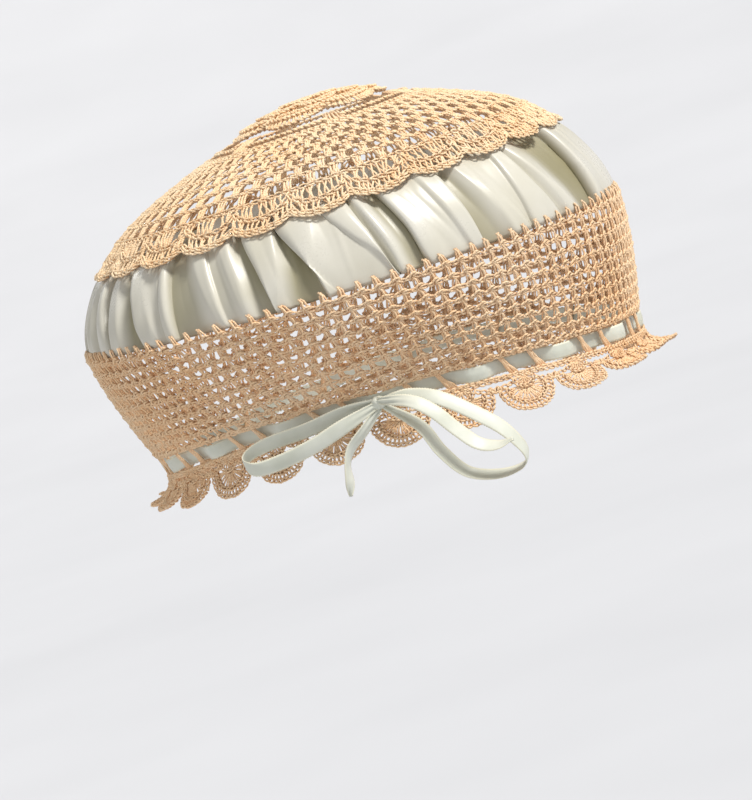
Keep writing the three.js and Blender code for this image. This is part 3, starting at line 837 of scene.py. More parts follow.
@dataclass
class ShellEdging:
    """Scallops under the eyelet row: a small fan, a wide fan that hangs from it and a braided rim round both."""

    shells: int = 24
    turn: float = -5.0
    top: float = 6.0
    neck: float = 2.5
    drop: float = 15.5
    ruffle: float = 1.6
    flares: tuple = ((0, 75), (20, 55), (45, 22), (70, 6), (115, 6), (145, 34), (180, 58))
    upper: float = 0.2
    middle: float = 4.7
    upper_reach: float = 4.4
    lower_reach: float = 7.4
    rim_reach: float = 10.6
    stitch_width: float = 2.4
    stitch_sway: float = 0.03
    rail_stitches: int = 240

    @property
    def pitch(self) -> float:
        """A shell's width along the opening."""
        return FORM.opening_round / self.shells

    def surface(self, along: np.ndarray, down: np.ndarray, out: np.ndarray) -> tuple:
        """Return points and facing directions for a way along the opening and a way down from the eyelet row."""
        angle = self.turn + along / (self.pitch * self.shells / 360)
        level = np.full_like(angle, -self.top / FORM.side_slope)
        around = angle % 360
        below = np.clip((down - self.neck) / (self.drop - self.neck), 0, None)
        flare = np.radians(eased(self.flares, np.minimum(around, 360 - around))) * np.sqrt(np.clip(below, 0, 1))
        place = (along / self.pitch % 1) * 2 - 1
        away = FORM.normal(angle, level)
        away[..., 2] = 0
        away = unit(away)
        up = np.array([0.0, 0.0, 1.0])
        sine, cosine = np.sin(flare)[..., None], np.cos(flare)[..., None]
        facing = cosine * away + sine * up
        bulge = self.ruffle * (1 - place ** 2) * below + out
        straight = np.minimum(down, self.neck)[..., None] * up
        slanted = np.maximum(down - self.neck, 0)[..., None] * (sine * away - cosine * up)
        return FORM.point(angle, level) - straight + slanted + facing * bulge[..., None], facing

    def arc(self, middle: float, reach: float, half_turn: float, count: int) -> tuple:
        """Return points on an arc round the first shell's middle, with their directions from it in radians."""
        angle = np.radians(np.linspace(-half_turn, half_turn, count))
        line = np.stack([self.pitch / 2 + np.sin(angle) * reach, middle + np.cos(angle) * reach], axis=-1)
        return line, angle

    def fan(
        self, skein: Skein, stitch: Stitch, middle: float, reaches: tuple, half_turn: float, count: int,
        bar: ThreadBar, lift: float = 0.0,
    ) -> None:
        """Work stitches that spread from the middle of every shell.

        Args:
            skein: the strands that they are added to.
            stitch: their lines.
            middle: how far down the fan's middle is.
            reaches: how far from the middle they begin and end.
            half_turn: how far the fan spreads to each side, in degrees.
            count: how many stitches it has.
            bar: the bar of thread that is bent.
            lift: how far it lies further out.
        """
        foot, angle = self.arc(middle, reaches[0], half_turn, count)
        shells = np.arange(self.shells)[:, None] * self.pitch
        start = ((foot[None, :, 0] + shells).ravel(), np.tile(foot[:, 1], self.shells))
        turn = np.tile(angle, self.shells) + skein.cotton.chance.normal(0, self.stitch_sway, count * self.shells)
        skein.work(stitch, start, self.stitch_width, reaches[1] - reaches[0], turn, bar, lift)

    def build(self, cotton: Cotton) -> None:
        """Work the fans and braids of every shell."""
        skein = Skein("shell_edging", cotton, self.surface)
        reaches = ((0.5, self.upper_reach), (0.9, self.lower_reach), (self.lower_reach, self.rim_reach))
        self.fan(skein, TREBLE, self.upper, reaches[0], half_turn=76, count=7, bar=cotton.short, lift=0.5)
        self.fan(skein, TREBLE, self.middle, reaches[1], half_turn=86, count=13, bar=cotton.plain)
        self.fan(skein, BAR, self.middle, reaches[2], half_turn=92, count=20, bar=cotton.short)
        upper, _ = self.arc(self.upper, self.upper_reach + 0.3, half_turn=80, count=15)
        lower, _ = self.arc(self.middle, self.lower_reach + 0.3, half_turn=92, count=24)
        rim, _ = self.arc(self.middle, self.rim_reach + 0.2, half_turn=104, count=30)
        rim = np.concatenate([[[0.0, self.middle]], rim, [[self.pitch, self.middle]]])
        link = np.array([[-0.5, 2.2], [-0.25, 3.6], [0.0, 4.2], [0.25, 3.6], [0.5, 2.2]]) * (self.pitch * 0.6, 1)
        for shell in range(self.shells):
            for line, count, lift in ((upper, 7, 0.8), (lower, 14, 0.5), (rim, 22, 0.3), (link, 7, 0.2)):
                skein.chain(line + (shell * self.pitch, 0), count, lift)
        rail = np.linspace(0, self.pitch * self.shells, 2 * self.rail_stitches + 1)
        skein.chain(np.stack([rail, 0 * rail], axis=-1), self.rail_stitches)
        skein.wind("edging_cotton", "shell_edging")


@dataclass(frozen=True)
class PetalRound:
    """A round of the rose's petals: where they begin and end, as shares of the rim's radius, and how they lie."""

    foot: float
    tip: float
    turn: float
    trebles: int
    lift: float


@dataclass
class Crown:
    """The crown: a raised rose in a ring of long openings, an open net and a close scalloped border."""

    rose_share: float = 0.345
    arch_share: float = 0.415
    slot_share: float = 0.465
    net_share: float = 0.5
    border_share: float = 0.9
    columns: int = 54
    rounds: int = 6
    cluster: tuple = (-1, 0, 1)
    cluster_spread: float = 0.17
    cluster_lean: float = 0.12
    lobes: int = 24
    lobe_turn: float = 8.0
    short_lap: float = -2.5
    long_lap: float = 3.0
    border_middle: float = 6.0
    border_width: float = 4.2
    border_sway: float = 0.25
    border_least: float = 2.0
    border_uneven: float = 0.06
    border_lean: float = 0.2
    petals: int = 6
    spokes: tuple = (-4.4, -2.2, 0, 2.2, 4.4)
    ring_trebles: int = 104
    ring_width: float = 2.6
    treble_width: float = 2.4
    petal_rounds: tuple = (
        PetalRound(foot=0.17, tip=0.335, turn=0.5, trebles=15, lift=0.1),
        PetalRound(foot=0.09, tip=0.26, turn=0.0, trebles=13, lift=0.8),
        PetalRound(foot=0.02, tip=0.15, turn=0.5, trebles=9, lift=1.3),
    )
    petal_foot: float = 0.3
    petal_spread: float = 0.5
    petal_mound: float = 0.6
    petal_chains: tuple = ((0.4, 1.9), (0.75, 2.1), (1.0, 0.5))
    eye_rounds: int = 3
    eye_share: float = 0.02
    eye_step: float = 0.022

    @property
    def radius(self) -> float:
        """The rim's mean radius."""
        return (FORM.rim.length + FORM.rim.width) / 4

    def surface(self, along: np.ndarray, up: np.ndarray, out: np.ndarray) -> tuple:
        """Return points and directions for a flat plan of the crown in millimetres, centred on its top."""
        angle, share = np.degrees(np.arctan2(along, up)), np.hypot(along, up) / self.radius
        level = np.where(share > 1, 2 - (share - 1) * self.radius / FORM.band_slope, 3 - share)
        facing = FORM.normal(angle, level)
        return FORM.point(angle, level) + facing * (out + FORM.puff(level))[..., None], facing

    def plan(self, angle: np.ndarray, share: object) -> np.ndarray:
        """Return the flat plan's points at angles in degrees and shares of the rim's radius."""
        around = np.radians(angle)
        return np.stack([np.sin(around) * share, np.cos(around) * share], axis=-1) * self.radius

    def radial(
        self, skein: Skein, angle: np.ndarray, share: object, height: object, bar: ThreadBar, width: float,
        lift: float = 0.0, lean: object = 0.0,
    ) -> None:
        """Work trebles that stand outwards from the crown's middle.

        Args:
            skein: the strands that they are added to.
            angle: where each is round the crown, in degrees.
            share: where each one's foot is, as a share of the rim's radius.
            height: how long each is, in millimetres.
            bar: the bar of thread that is bent.
            width: the trebles' width.
            lift: how far they lie further out.
            lean: how far each leans, in radians.
        """
        skein.work(TREBLE, self.plan(angle, share).T, width, height, np.radians(angle) + lean, bar, lift)

    def ring(self, skein: Skein, share: object, count: int, lift: float = 0.0, span: tuple = (0.0, 360.0)) -> None:
        """Work a chain round the crown, at a share of the rim's radius or along a function of the angle."""
        angle = np.linspace(*span, max(16, int(abs(span[1] - span[0]) * 2)))
        skein.chain(self.plan(angle, share(angle) if callable(share) else share), count, lift)

    def build(self, cotton: Cotton) -> None:
        """Work the whole crown."""
        parts = {"crown_rosette": self.work_rose, "crown_net": self.work_net, "crown_border": self.work_border}
        for name, work in parts.items():
            skein = Skein(name, cotton, self.surface)
            work(skein)
            skein.wind("crown_cotton", name)

    def work_rose(self, skein: Skein) -> None:
        """Work the rose, the spokes round it and the ring that they reach."""
        step = 360 / self.petals
        angle = np.arange(self.ring_trebles) * 360 / self.ring_trebles
        deep = (self.net_share - self.slot_share) * self.radius
        plain = skein.cotton.plain
        self.radial(skein, angle, self.slot_share, deep, plain, self.ring_width)
        for share in (self.slot_share, self.net_share):
            self.ring(skein, share, self.ring_trebles)
        length = (self.slot_share - self.rose_share) * self.radius
        for spoke in range(self.petals):
            angle = spoke * step + np.array(self.spokes)
            self.radial(skein, angle, self.rose_share, length, plain, self.treble_width)
            self.ring(skein, self.arch_share, count=15, lift=0.2, span=(spoke * step + 4, spoke * step + step - 4))
        for layer in self.petal_rounds:
            self.petal_round(skein, layer, step)
        for turn in range(self.eye_rounds):
            share = self.eye_share + self.eye_step * turn
            self.ring(skein, share, count=6 + 6 * turn, lift=2.6 - 0.3 * turn)

    def petal_round(self, skein: Skein, layer: PetalRound, step: float) -> None:
        """Work one round of petals, each a mound of trebles with chains over it."""
        spread = np.linspace(-1, 1, layer.trebles)
        reach = lerp(layer.foot, layer.tip, np.sqrt(np.clip(1 - spread ** 2 * 0.8, 0, 1)))
        lift = layer.lift + self.petal_mound * (1 - spread ** 2)
        for petal in range(self.petals):
            middle = (petal + layer.turn) * step
            foot = self.plan(middle + spread * step * self.petal_foot, layer.foot)
            run = self.plan(middle + spread * step * self.petal_spread, reach) - foot
            length, turn = np.linalg.norm(run, axis=1), np.arctan2(run[:, 0], run[:, 1])
            skein.work(PETAL, foot.T, self.treble_width, length, turn, skein.cotton.fine, lift)
            for share, rise in self.petal_chains:
                skein.chain(foot + run * share, layer.trebles, layer.lift + rise)

    def work_net(self, skein: Skein) -> None:
        """Work rounds of clusters and gaps, each round set half a gap from the last."""
        lines = np.linspace(self.net_share, self.border_share, self.rounds + 1)
        step = 360 / self.columns
        height = np.diff(lines) * self.radius
        for row, low in enumerate(lines[:-1]):
            middle = (np.arange(self.columns) + row / 2) * step
            for place in self.cluster:
                angle, lean = middle + place * step * self.cluster_spread, -self.cluster_lean * place
                self.radial(skein, angle, low, height[row], skein.cotton.short, self.treble_width, lean=lean)
            if row:
                self.ring(skein, low, self.columns * 3, 0.1)

    def edge(self, inset: float) -> Callable:
        """Return the line that runs so many millimetres inside the lobes' edge, as a function of the angle."""

        def line(angle: np.ndarray) -> np.ndarray:
            """Return the line's share of the rim's radius."""
            place = ((angle - self.lobe_turn) / 360 * self.lobes % 1) * 2 - 1
            lap = lerp(self.short_lap, self.long_lap, np.sqrt(np.clip(1 - place ** 2, 0, 1)))
            return 1 + (lap - inset) / self.radius

        return line

    def work_border(self, skein: Skein) -> None:
        """Work two close rounds of trebles, of which the outer one follows the lobes, and a braid along it."""
        chance, middle = skein.cotton.chance, self.edge(self.border_middle)
        for low, high, per_lobe in ((None, middle, 10), (middle, self.edge(0.9), 12)):
            count = self.lobes * per_lobe
            angle = (np.arange(count) + 0.5) * 360 / count + self.lobe_turn + chance.normal(0, self.border_sway, count)
            foot = low(angle) if low else 0 * angle + self.border_share
            height = np.maximum((high(angle) - foot) * self.radius, self.border_least)
            height = height * chance.normal(1, self.border_uneven, count)
            lean = chance.normal(0, self.border_lean, count)
            self.radial(skein, angle, foot, height, skein.cotton.plain, self.border_width, 0.2, lean)
        for line, count, lift in (
            (self.border_share, self.columns * 3, 0.3), (middle, self.lobes * 8, 0.5),
            (self.edge(1.5), self.lobes * 9, 0.6), (self.edge(0.5), self.lobes * 9, 0.3),
        ):
            self.ring(skein, line, count, lift)


def corner_of_loops(mesh: bpy.types.Mesh) -> np.ndarray:
    """Return the corner that each of a mesh's loops belongs to."""
    index = np.empty(len(mesh.loops), dtype=np.int32)
    mesh.loops.foreach_get("vertex_index", index)
    return index


def spread_out(mesh: bpy.types.Mesh, flat: np.ndarray, shades: dict) -> None:
    """Note on a bent mesh what its finish reads.

    Args:
        mesh: the mesh, which is smoothed as well.
        flat: each loop's place on the flat cloth in millimetres.
        shades: numbers for each corner, by name.
    """
    layer = mesh.uv_layers.active or mesh.uv_layers.new(name="cloth")
    layer.name = "cloth"
    layer.data.foreach_set("uv", flat.ravel())
    for name, values in shades.items():
        mesh.attributes.new(name, "FLOAT", "POINT").data.foreach_set("value", values)
    mesh.update()
    mesh.shade_smooth()


@dataclass
class Cloth:
    """A grid of cloth that is bent over a surface and given its thickness."""

    name: str
    columns: int
    rows: int
    closed: bool
    thickness: float

    def bend(self, places: np.ndarray, spread: np.ndarray, shades: dict) -> bpy.types.Object:
        """Model the flat cloth and bend it.

        Args:
            places: where each corner goes in millimetres, as an array (columns, rows, 3).
            spread: each corner's place on the cloth in millimetres, as an array (columns, rows, 2).
            shades: numbers for the finish by name, each as an array (columns, rows).

        Returns:
            The piece, with its thickness applied.
        """
        let_go()
        across, up = self.columns - (0 if self.closed else 1), self.rows - 1
        if self.closed:
            bpy.ops.mesh.primitive_cylinder_add(vertices=self.columns, radius=1, depth=1, end_fill_type="NOTHING")
            cut_across(self.rows)
        else:
            bpy.ops.mesh.primitive_grid_add(x_subdivisions=across, y_subdivisions=up, size=2)
        piece = bpy.context.object
        piece.name = piece.data.name = self.name
        mesh = piece.data
        corners = np.array([vertex.co for vertex in mesh.vertices])
        if self.closed:
            column = np.rint(np.arctan2(corners[:, 1], corners[:, 0]) / math.tau * self.columns).astype(int)
            column %= self.columns
            row = np.rint((corners[:, 2] + 0.5) * up).astype(int)
        else:
            column = np.rint((corners[:, 0] + 1) / 2 * across).astype(int)
            row = np.rint((corners[:, 1] + 1) / 2 * up).astype(int)
        mesh.vertices.foreach_set("co", (places[column, row] * MM).ravel())
        index = corner_of_loops(mesh)
        flat = spread[column[index], row[index]].copy()
        if self.closed:
            whole = 2 * spread[-1, 0, 0] - spread[-2, 0, 0]
            late = column[index].reshape(-1, 4).max(axis=1) == self.columns - 1
            wraps = np.repeat(late, 4) & (column[index] == 0)
            flat[wraps, 0] = whole
        spread_out(mesh, flat, {name: values[column, row].astype(float) for name, values in shades.items()})
        solid = piece.modifiers.new("thickness", "SOLIDIFY")
        solid.thickness, solid.offset, solid.use_even_offset = self.thickness * MM, 0, False
        take(piece)
        bpy.ops.object.modifier_apply(modifier=solid.name)
        return piece


class Edge(Enum):
    """Which side of a pleat's valley has the sharp ridge."""

    AHEAD = 1
    BEHIND = -1


@dataclass(frozen=True)
class Pleat:
    """A fold of the satin.

    Where its valley is and how wide it is, in degrees; its depth as a share of the deepest; the side with the
    sharp ridge; and how much wider it is at the foot than in the middle, as a share.
    """

    at: float
    width: float
    depth: float
    edge: Edge = Edge.AHEAD
    widening: float = 0.0
    narrowest: float = 0.3

    def half(self, share: np.ndarray) -> np.ndarray:
        """Return half the width at shares of the way up the band, in degrees."""
        return self.width / 2 * np.maximum(1 + self.widening * (1 - 2 * share), self.narrowest)


@dataclass
class SatinBand:
    """The satin band, gathered into irregular pleats between the crown and the side."""

    columns: int = 1080
    rows: int = 20
    thickness: float = 0.3
    depth: float = 4.6
    ridge_rise: float = 0.8
    ridge_least: float = 0.4
    valley_step: float = 0.45
    floor_share: float = 0.62
    floor_depth: float = 0.85
    far_rise: float = 0.45
    slant: float = 0.9
    creases: int = 120
    lap: float = 1.3
    lean: float = 5.0
    tuck: float = 0.8
    top_tuck: float = 5.5
    cut_width: float = 43.0
    roomy: float = 4.5
    apart: float = 0.8
    lap_spread: float = 0.9
    sway: float = 0.6
    softness: float = 0.15
    gathering: float = 0.55
    gather_foot: float = 0.14
    gather_top: float = 0.2
    foot_gathering: float = 0.7
    least_hold: float = 0.8
    sink: float = 0.6
    sink_by_side: float = 0.2
    sink_by_crown: float = 0.5
    valley_from: float = 0.5
    valley_short: float = 0.8
    pleats: tuple = (
        Pleat(14, 17, 1, Edge.AHEAD, -0.3), Pleat(25, 4, 0.5, Edge.BEHIND), Pleat(35, 7, 0.3, Edge.AHEAD, -0.8),
        Pleat(44, 7, 0.85, Edge.BEHIND, 0.3), Pleat(54, 8, 0.22, Edge.AHEAD), Pleat(62.5, 7.5, 0.9, Edge.AHEAD),
        Pleat(66.5, 4, 0.6, Edge.BEHIND), Pleat(75, 10, 0.25, Edge.AHEAD, 0.8), Pleat(85, 7, 1, Edge.AHEAD, 0.9),
        Pleat(95, 6, 0.9, Edge.AHEAD, 0.2), Pleat(102, 5, 0.35, Edge.BEHIND), Pleat(112, 11, 0.75, Edge.BEHIND, 0.2),
        Pleat(121, 5, 0.3, Edge.AHEAD, -0.5), Pleat(131, 8, 1, Edge.AHEAD, 0.2), Pleat(141, 5, 0.6, Edge.BEHIND, -0.6),
        Pleat(149, 7, 0.5, Edge.AHEAD), Pleat(161, 7, 0.9, Edge.BEHIND), Pleat(172, 7, 0.4, Edge.AHEAD, 0.5),
        Pleat(184, 8, 1, Edge.AHEAD, -0.3), Pleat(198, 10, 0.6, Edge.BEHIND, 0.6), Pleat(212, 7, 0.9, Edge.AHEAD),
        Pleat(224, 7, 0.35, Edge.BEHIND), Pleat(236, 8, 1, Edge.BEHIND, 0.4), Pleat(251, 9, 0.6, Edge.AHEAD, -0.4),
        Pleat(266, 7, 0.9, Edge.AHEAD, 0.5), Pleat(277, 7, 0.35, Edge.BEHIND), Pleat(290, 9, 1, Edge.BEHIND, -0.2),
        Pleat(306, 8, 0.7, Edge.AHEAD, 0.5), Pleat(319, 7, 0.4, Edge.BEHIND), Pleat(332, 8, 1, Edge.AHEAD, 0.2),
        Pleat(346, 9, 0.6, Edge.BEHIND, -0.4),
    )

    def knots(self, share: float) -> tuple:
        """Return the places of the folds' edges at a share of the way up the band.

        Args:
            share: the place up the band, from 0 to 1.

        Returns:
            The edges' places round the cap in degrees, rising, and how far out each lies in millimetres.
        """
        chance = np.random.default_rng(17)
        spans = [[pleat.at - pleat.half(share), pleat.at + pleat.half(share)] for pleat in self.pleats]
        ring = list(zip(self.pleats, spans, self.pleats[1:] + self.pleats[:1], spans[1:] + spans[:1]))
        wraps = [0] * (len(ring) - 1) + [360]
        for (_, span, _, following), wrap in zip(ring, wraps):
            if span[1] > following[0] + wrap - self.apart:
                middle = (span[1] + following[0] + wrap) / 2
                span[1], following[0] = middle - self.apart / 2, middle + self.apart / 2 - wrap
        rows = []
        for (pleat, (low, high), after, following), wrap in zip(ring, wraps):
            sharp, gentle = (low, high) if pleat.edge is Edge.AHEAD else (high, low)
            inward = (gentle - sharp) / (high - low)
            deep = -self.depth * pleat.depth
            ridge = self.ridge_rise * (self.ridge_least + (1 - self.ridge_least) * pleat.depth)
            rows += [(sharp, ridge), (sharp + self.valley_step * inward, deep)]
            rows += [(lerp(sharp, gentle, self.floor_share), self.floor_depth * deep), (gentle, self.far_rise * ridge)]
            room = after.at + wrap - pleat.at - (pleat.width + after.width) / 2
            for place in (0.3, 0.7):
                foot, top = chance.uniform(-self.slant, self.slant, 2)
                if room > self.roomy:
                    at = lerp(high, following[0] + wrap, place + chance.uniform(-0.1, 0.1))
                    rows.append((at, lerp(foot, top, share)))
        rows.sort()
        return tuple(np.array(rows).T)

    def drift(self, share: np.ndarray) -> np.ndarray:
        """Return each column's place among the folds, so that every fold's edge runs along one column.

        Args:
            share: the rows' places up the band, from 0 to 1.

        Returns:
            The places round the cap in degrees, as an array (columns, rows).
        """
        marks = np.rint(self.knots(0.5)[0] / 360 * self.columns)
        for index in range(1, len(marks)):
            marks[index] = max(marks[index], marks[index - 1] + 1)
        marks, columns = thrice(marks, self.columns), np.arange(self.columns)
        return np.stack([np.interp(columns, marks, thrice(self.knots(float(at))[0], 360)) for at in share], axis=-1)

    def fold(self, angle: np.ndarray, share: np.ndarray) -> tuple:
        """Fold the cloth into flat panels between crisp edges.

        Args:
            angle: places round the cap in degrees, as an array (columns, rows).
            share: places up the band, from 0 to 1, of the same shape.

        Returns:
            How far out each place lies in millimetres, how deep it lies as a share, which sets the painted shade in
            the valleys, and how far it laps over its valley, in degrees.
        """
        out, lap = np.zeros_like(angle), np.zeros_like(angle)
        radius = (FORM.girth.length + FORM.rim.length) / 4
        for row in range(angle.shape[1]):
            places, heights = self.knots(float(share[0, row]))
            places, heights = thrice(places, 360), np.tile(heights, 3)
            at = angle[:, row] % 360
            run = np.interp(at, places, heights)
            after = np.clip(np.searchsorted(places, at), 1, len(places) - 1)
            sag = np.radians(at - places[after - 1]) * np.radians(places[after] - at) * radius / 2
            run = run - np.maximum(sag, 0)
            out[:, row] = (np.roll(run, 1) + 2 * run + np.roll(run, -1)) / 4
        for pleat in self.pleats:
            away = shorter(angle - (pleat.at - pleat.edge.value * pleat.half(share)))
            lap = lap + pleat.edge.value * pleat.depth * np.exp(-((away / self.lap_spread) ** 2))
        # How deep each place lies, which the satin's finish uses for the painted shade in the valleys.
        depth = np.clip(-(out + self.valley_from) / (self.depth - self.valley_short), 0, 1)
        return out, depth, lap

    def crease(self, angle: np.ndarray, share: np.ndarray) -> np.ndarray:
        """Return the height of narrow creases that run part of the way up the band, in millimetres."""
        chance = np.random.default_rng(21)
        height = np.zeros_like(angle)
        for place in np.arange(self.creases) * 360 / self.creases:
            at, tilt = place + chance.uniform(-2, 2), chance.uniform(-5, 5)
            width, rise = chance.uniform(0.35, 0.7), chance.uniform(-0.3, 0.45)
            middle, reach = chance.choice([0.0, 0.5, 0.9, 1.0]), chance.uniform(0.3, 0.8)
            away = shorter(angle - at - tilt * (share - 0.5))
            height += rise * np.exp(-((away / width) ** 2) - ((share - middle) / reach) ** 2)
        return height

    def build(self, material: bpy.types.Material) -> None:
        """Model the band."""
        share = np.linspace(0, 1, self.rows)
        drift = self.drift(share)
        share = np.broadcast_to(share, drift.shape)
        low = 1 - self.tuck / FORM.side_slope
        high = 2 + self.top_tuck / FORM.dome_slope
        level = lerp(low, high, share)
        angle = drift + self.lean * (level - 1.5)
        angle = angle - self.sway * wander(3, angle / 360, share, 30, 2)
        leaning = angle - self.lean * (level - 1.5)
        folds, depth, lap = self.fold(drift, share)
        hold = lerp(self.least_hold, 1.0, np.sin(np.pi * np.clip(share, 0, 1)) ** 0.7)
        soft = wander(11, leaning / 360, share, 46, 2) * self.softness
        creases = self.crease(leaning, share)
        gathers = wander(5, angle / 360, share, 210, 1) * self.gathering
        pucker = np.exp(-share / self.gather_foot) * gathers * self.foot_gathering
        pucker = pucker + np.exp(-(1 - share) / self.gather_top) * gathers
        out = FORM.puff(level) - self.sink + hold * folds + soft + creases + pucker
        out = np.where(level < 1, np.minimum(out, -self.sink_by_side), out)
        out = np.where(level > 2, np.minimum(out, -self.sink_by_crown), out)
        places = FORM.off(angle + self.lap * lap * hold, level, out)
        steps = np.linalg.norm(np.roll(places, -1, axis=0) - places, axis=-1)
        run = np.concatenate([np.zeros((1, self.rows)), np.cumsum(steps, axis=0)[:-1]], axis=0)
        cloth = Cloth("satin_band", self.columns, self.rows, True, self.thickness)
        flat = np.broadcast_arrays(run.mean(axis=1, keepdims=True), share * self.cut_width)
        # The valley attribute carries the painted shade of the folds' valleys.
        piece = cloth.bend(places, np.stack(flat, axis=-1), {"valley": depth * hold})
        settle(piece, material, ("satin_band",))
        bpy.context.view_layer.update()


@dataclass
class RibbonCloth:
    """The narrow ribbon: its width, its thickness and its feathered edges."""

    width: float = 6.35
    thickness: float = 0.3
    feather: float = 0.32
    rows: int = 9
    curl: float = 0.35
    gather: float = 0.8
    hem_from: float = 0.74
    hem_width: float = 0.2

    def lay(self, name: str, path: np.ndarray, facing: np.ndarray, wide: np.ndarray, closed: bool) -> bpy.types.Object:
        """Bend a length of ribbon along a path.

        Args:
            name: the piece's name.
            path: its middle line in millimetres, as closely spaced points.
            facing: the way its face looks at each point.
            wide: its width at each point, as a share of the ribbon's.
            closed: whether it meets itself.

        Returns:
            The piece.
        """
        heading = unit(np.roll(path, -1, axis=0) - np.roll(path, 1, axis=0) if closed else np.gradient(path, axis=0))
        facing = unit(facing - heading * np.sum(facing * heading, axis=1, keepdims=True))
        across = np.cross(facing, heading)
        count = len(path)
        tooth = np.where(np.arange(count) % 2 == 0, self.feather, 0.0)
        side = np.linspace(-1, 1, self.rows)
        half = self.width / 2 - self.feather * 0.5
        reach = side[None, :] * half * wide[:, None]
        reach = reach + np.where(np.abs(side) == 1, np.sign(side), 0)[None, :] * tooth[:, None]
        gathered = np.clip(1 - wide, 0, 1)[:, None]
        crease = np.cos(side * math.pi * 2)[None, :] * gathered * self.gather
        curl = -self.curl * side[None, :] ** 2 + crease
        places = path[:, None] + across[:, None] * reach[..., None] + facing[:, None] * curl[..., None]
        spread = np.stack(np.broadcast_arrays(side[None, :] * self.width / 2, run_along(path)[:, None]), axis=-1)
        hem = np.clip((np.abs(side) - self.hem_from) / self.hem_width, 0, 1)
        hem = np.broadcast_to(hem[None, :], (count, self.rows))
        cloth = Cloth(name, count, self.rows, closed, self.thickness)
        return cloth.bend(places, spread, {"hem": hem})


@dataclass
class Drawstring:
    """The narrow ribbon threaded through the eyelets, over one post and under the next two."""

    posts: int = 48
    first: float = 80.0
    repeat: int = 3
    middle: float = 0.8
    over: float = 1.7
    under: float = 1.5
    steps: int = 16
    crossing: tuple = (0.16, 0.68)
    sway: float = 0.12
    wide: float = 0.97

    def build(self, ribbon: RibbonCloth, material: bpy.types.Material) -> None:
        """Model the threaded ribbon."""
        ways = [Way.OVER if post % self.repeat == 0 else Way.UNDER for post in range(self.posts)]
        offs = np.array([self.over if way is Way.OVER else -self.under for way in ways])
        count = self.posts * self.steps
        place = np.arange(count) / self.steps
        k = np.floor(place).astype(int)
        start, length = self.crossing
        crossed = eased_step(np.clip((place - k - start) / length, 0, 1))
        out = self.middle + lerp(offs[k % self.posts], offs[(k + 1) % self.posts], crossed)
        angle = self.first + place * 360 / self.posts
        level = self.sway * wander(31, place / self.posts, place * 0, 30, 1) / FORM.side_slope
        path = FORM.off(angle, level, out)
        piece = ribbon.lay("drawstring_ribbon", path, FORM.normal(angle, level), np.full(count, self.wide), True)
        settle(piece, material, ("drawstring_ribbon",))


@dataclass(frozen=True)
class Bend:
    """A point of a ribbon in the bow, from the knot, as shares of that piece's length.

    ahead is towards the front, up is up and out is away from the head; face is the way that its face looks, in
    the same three directions, and wide is its width as a share of the ribbon's.
    """

    ahead: float
    up: float
    out: float
    face: tuple
    wide: float


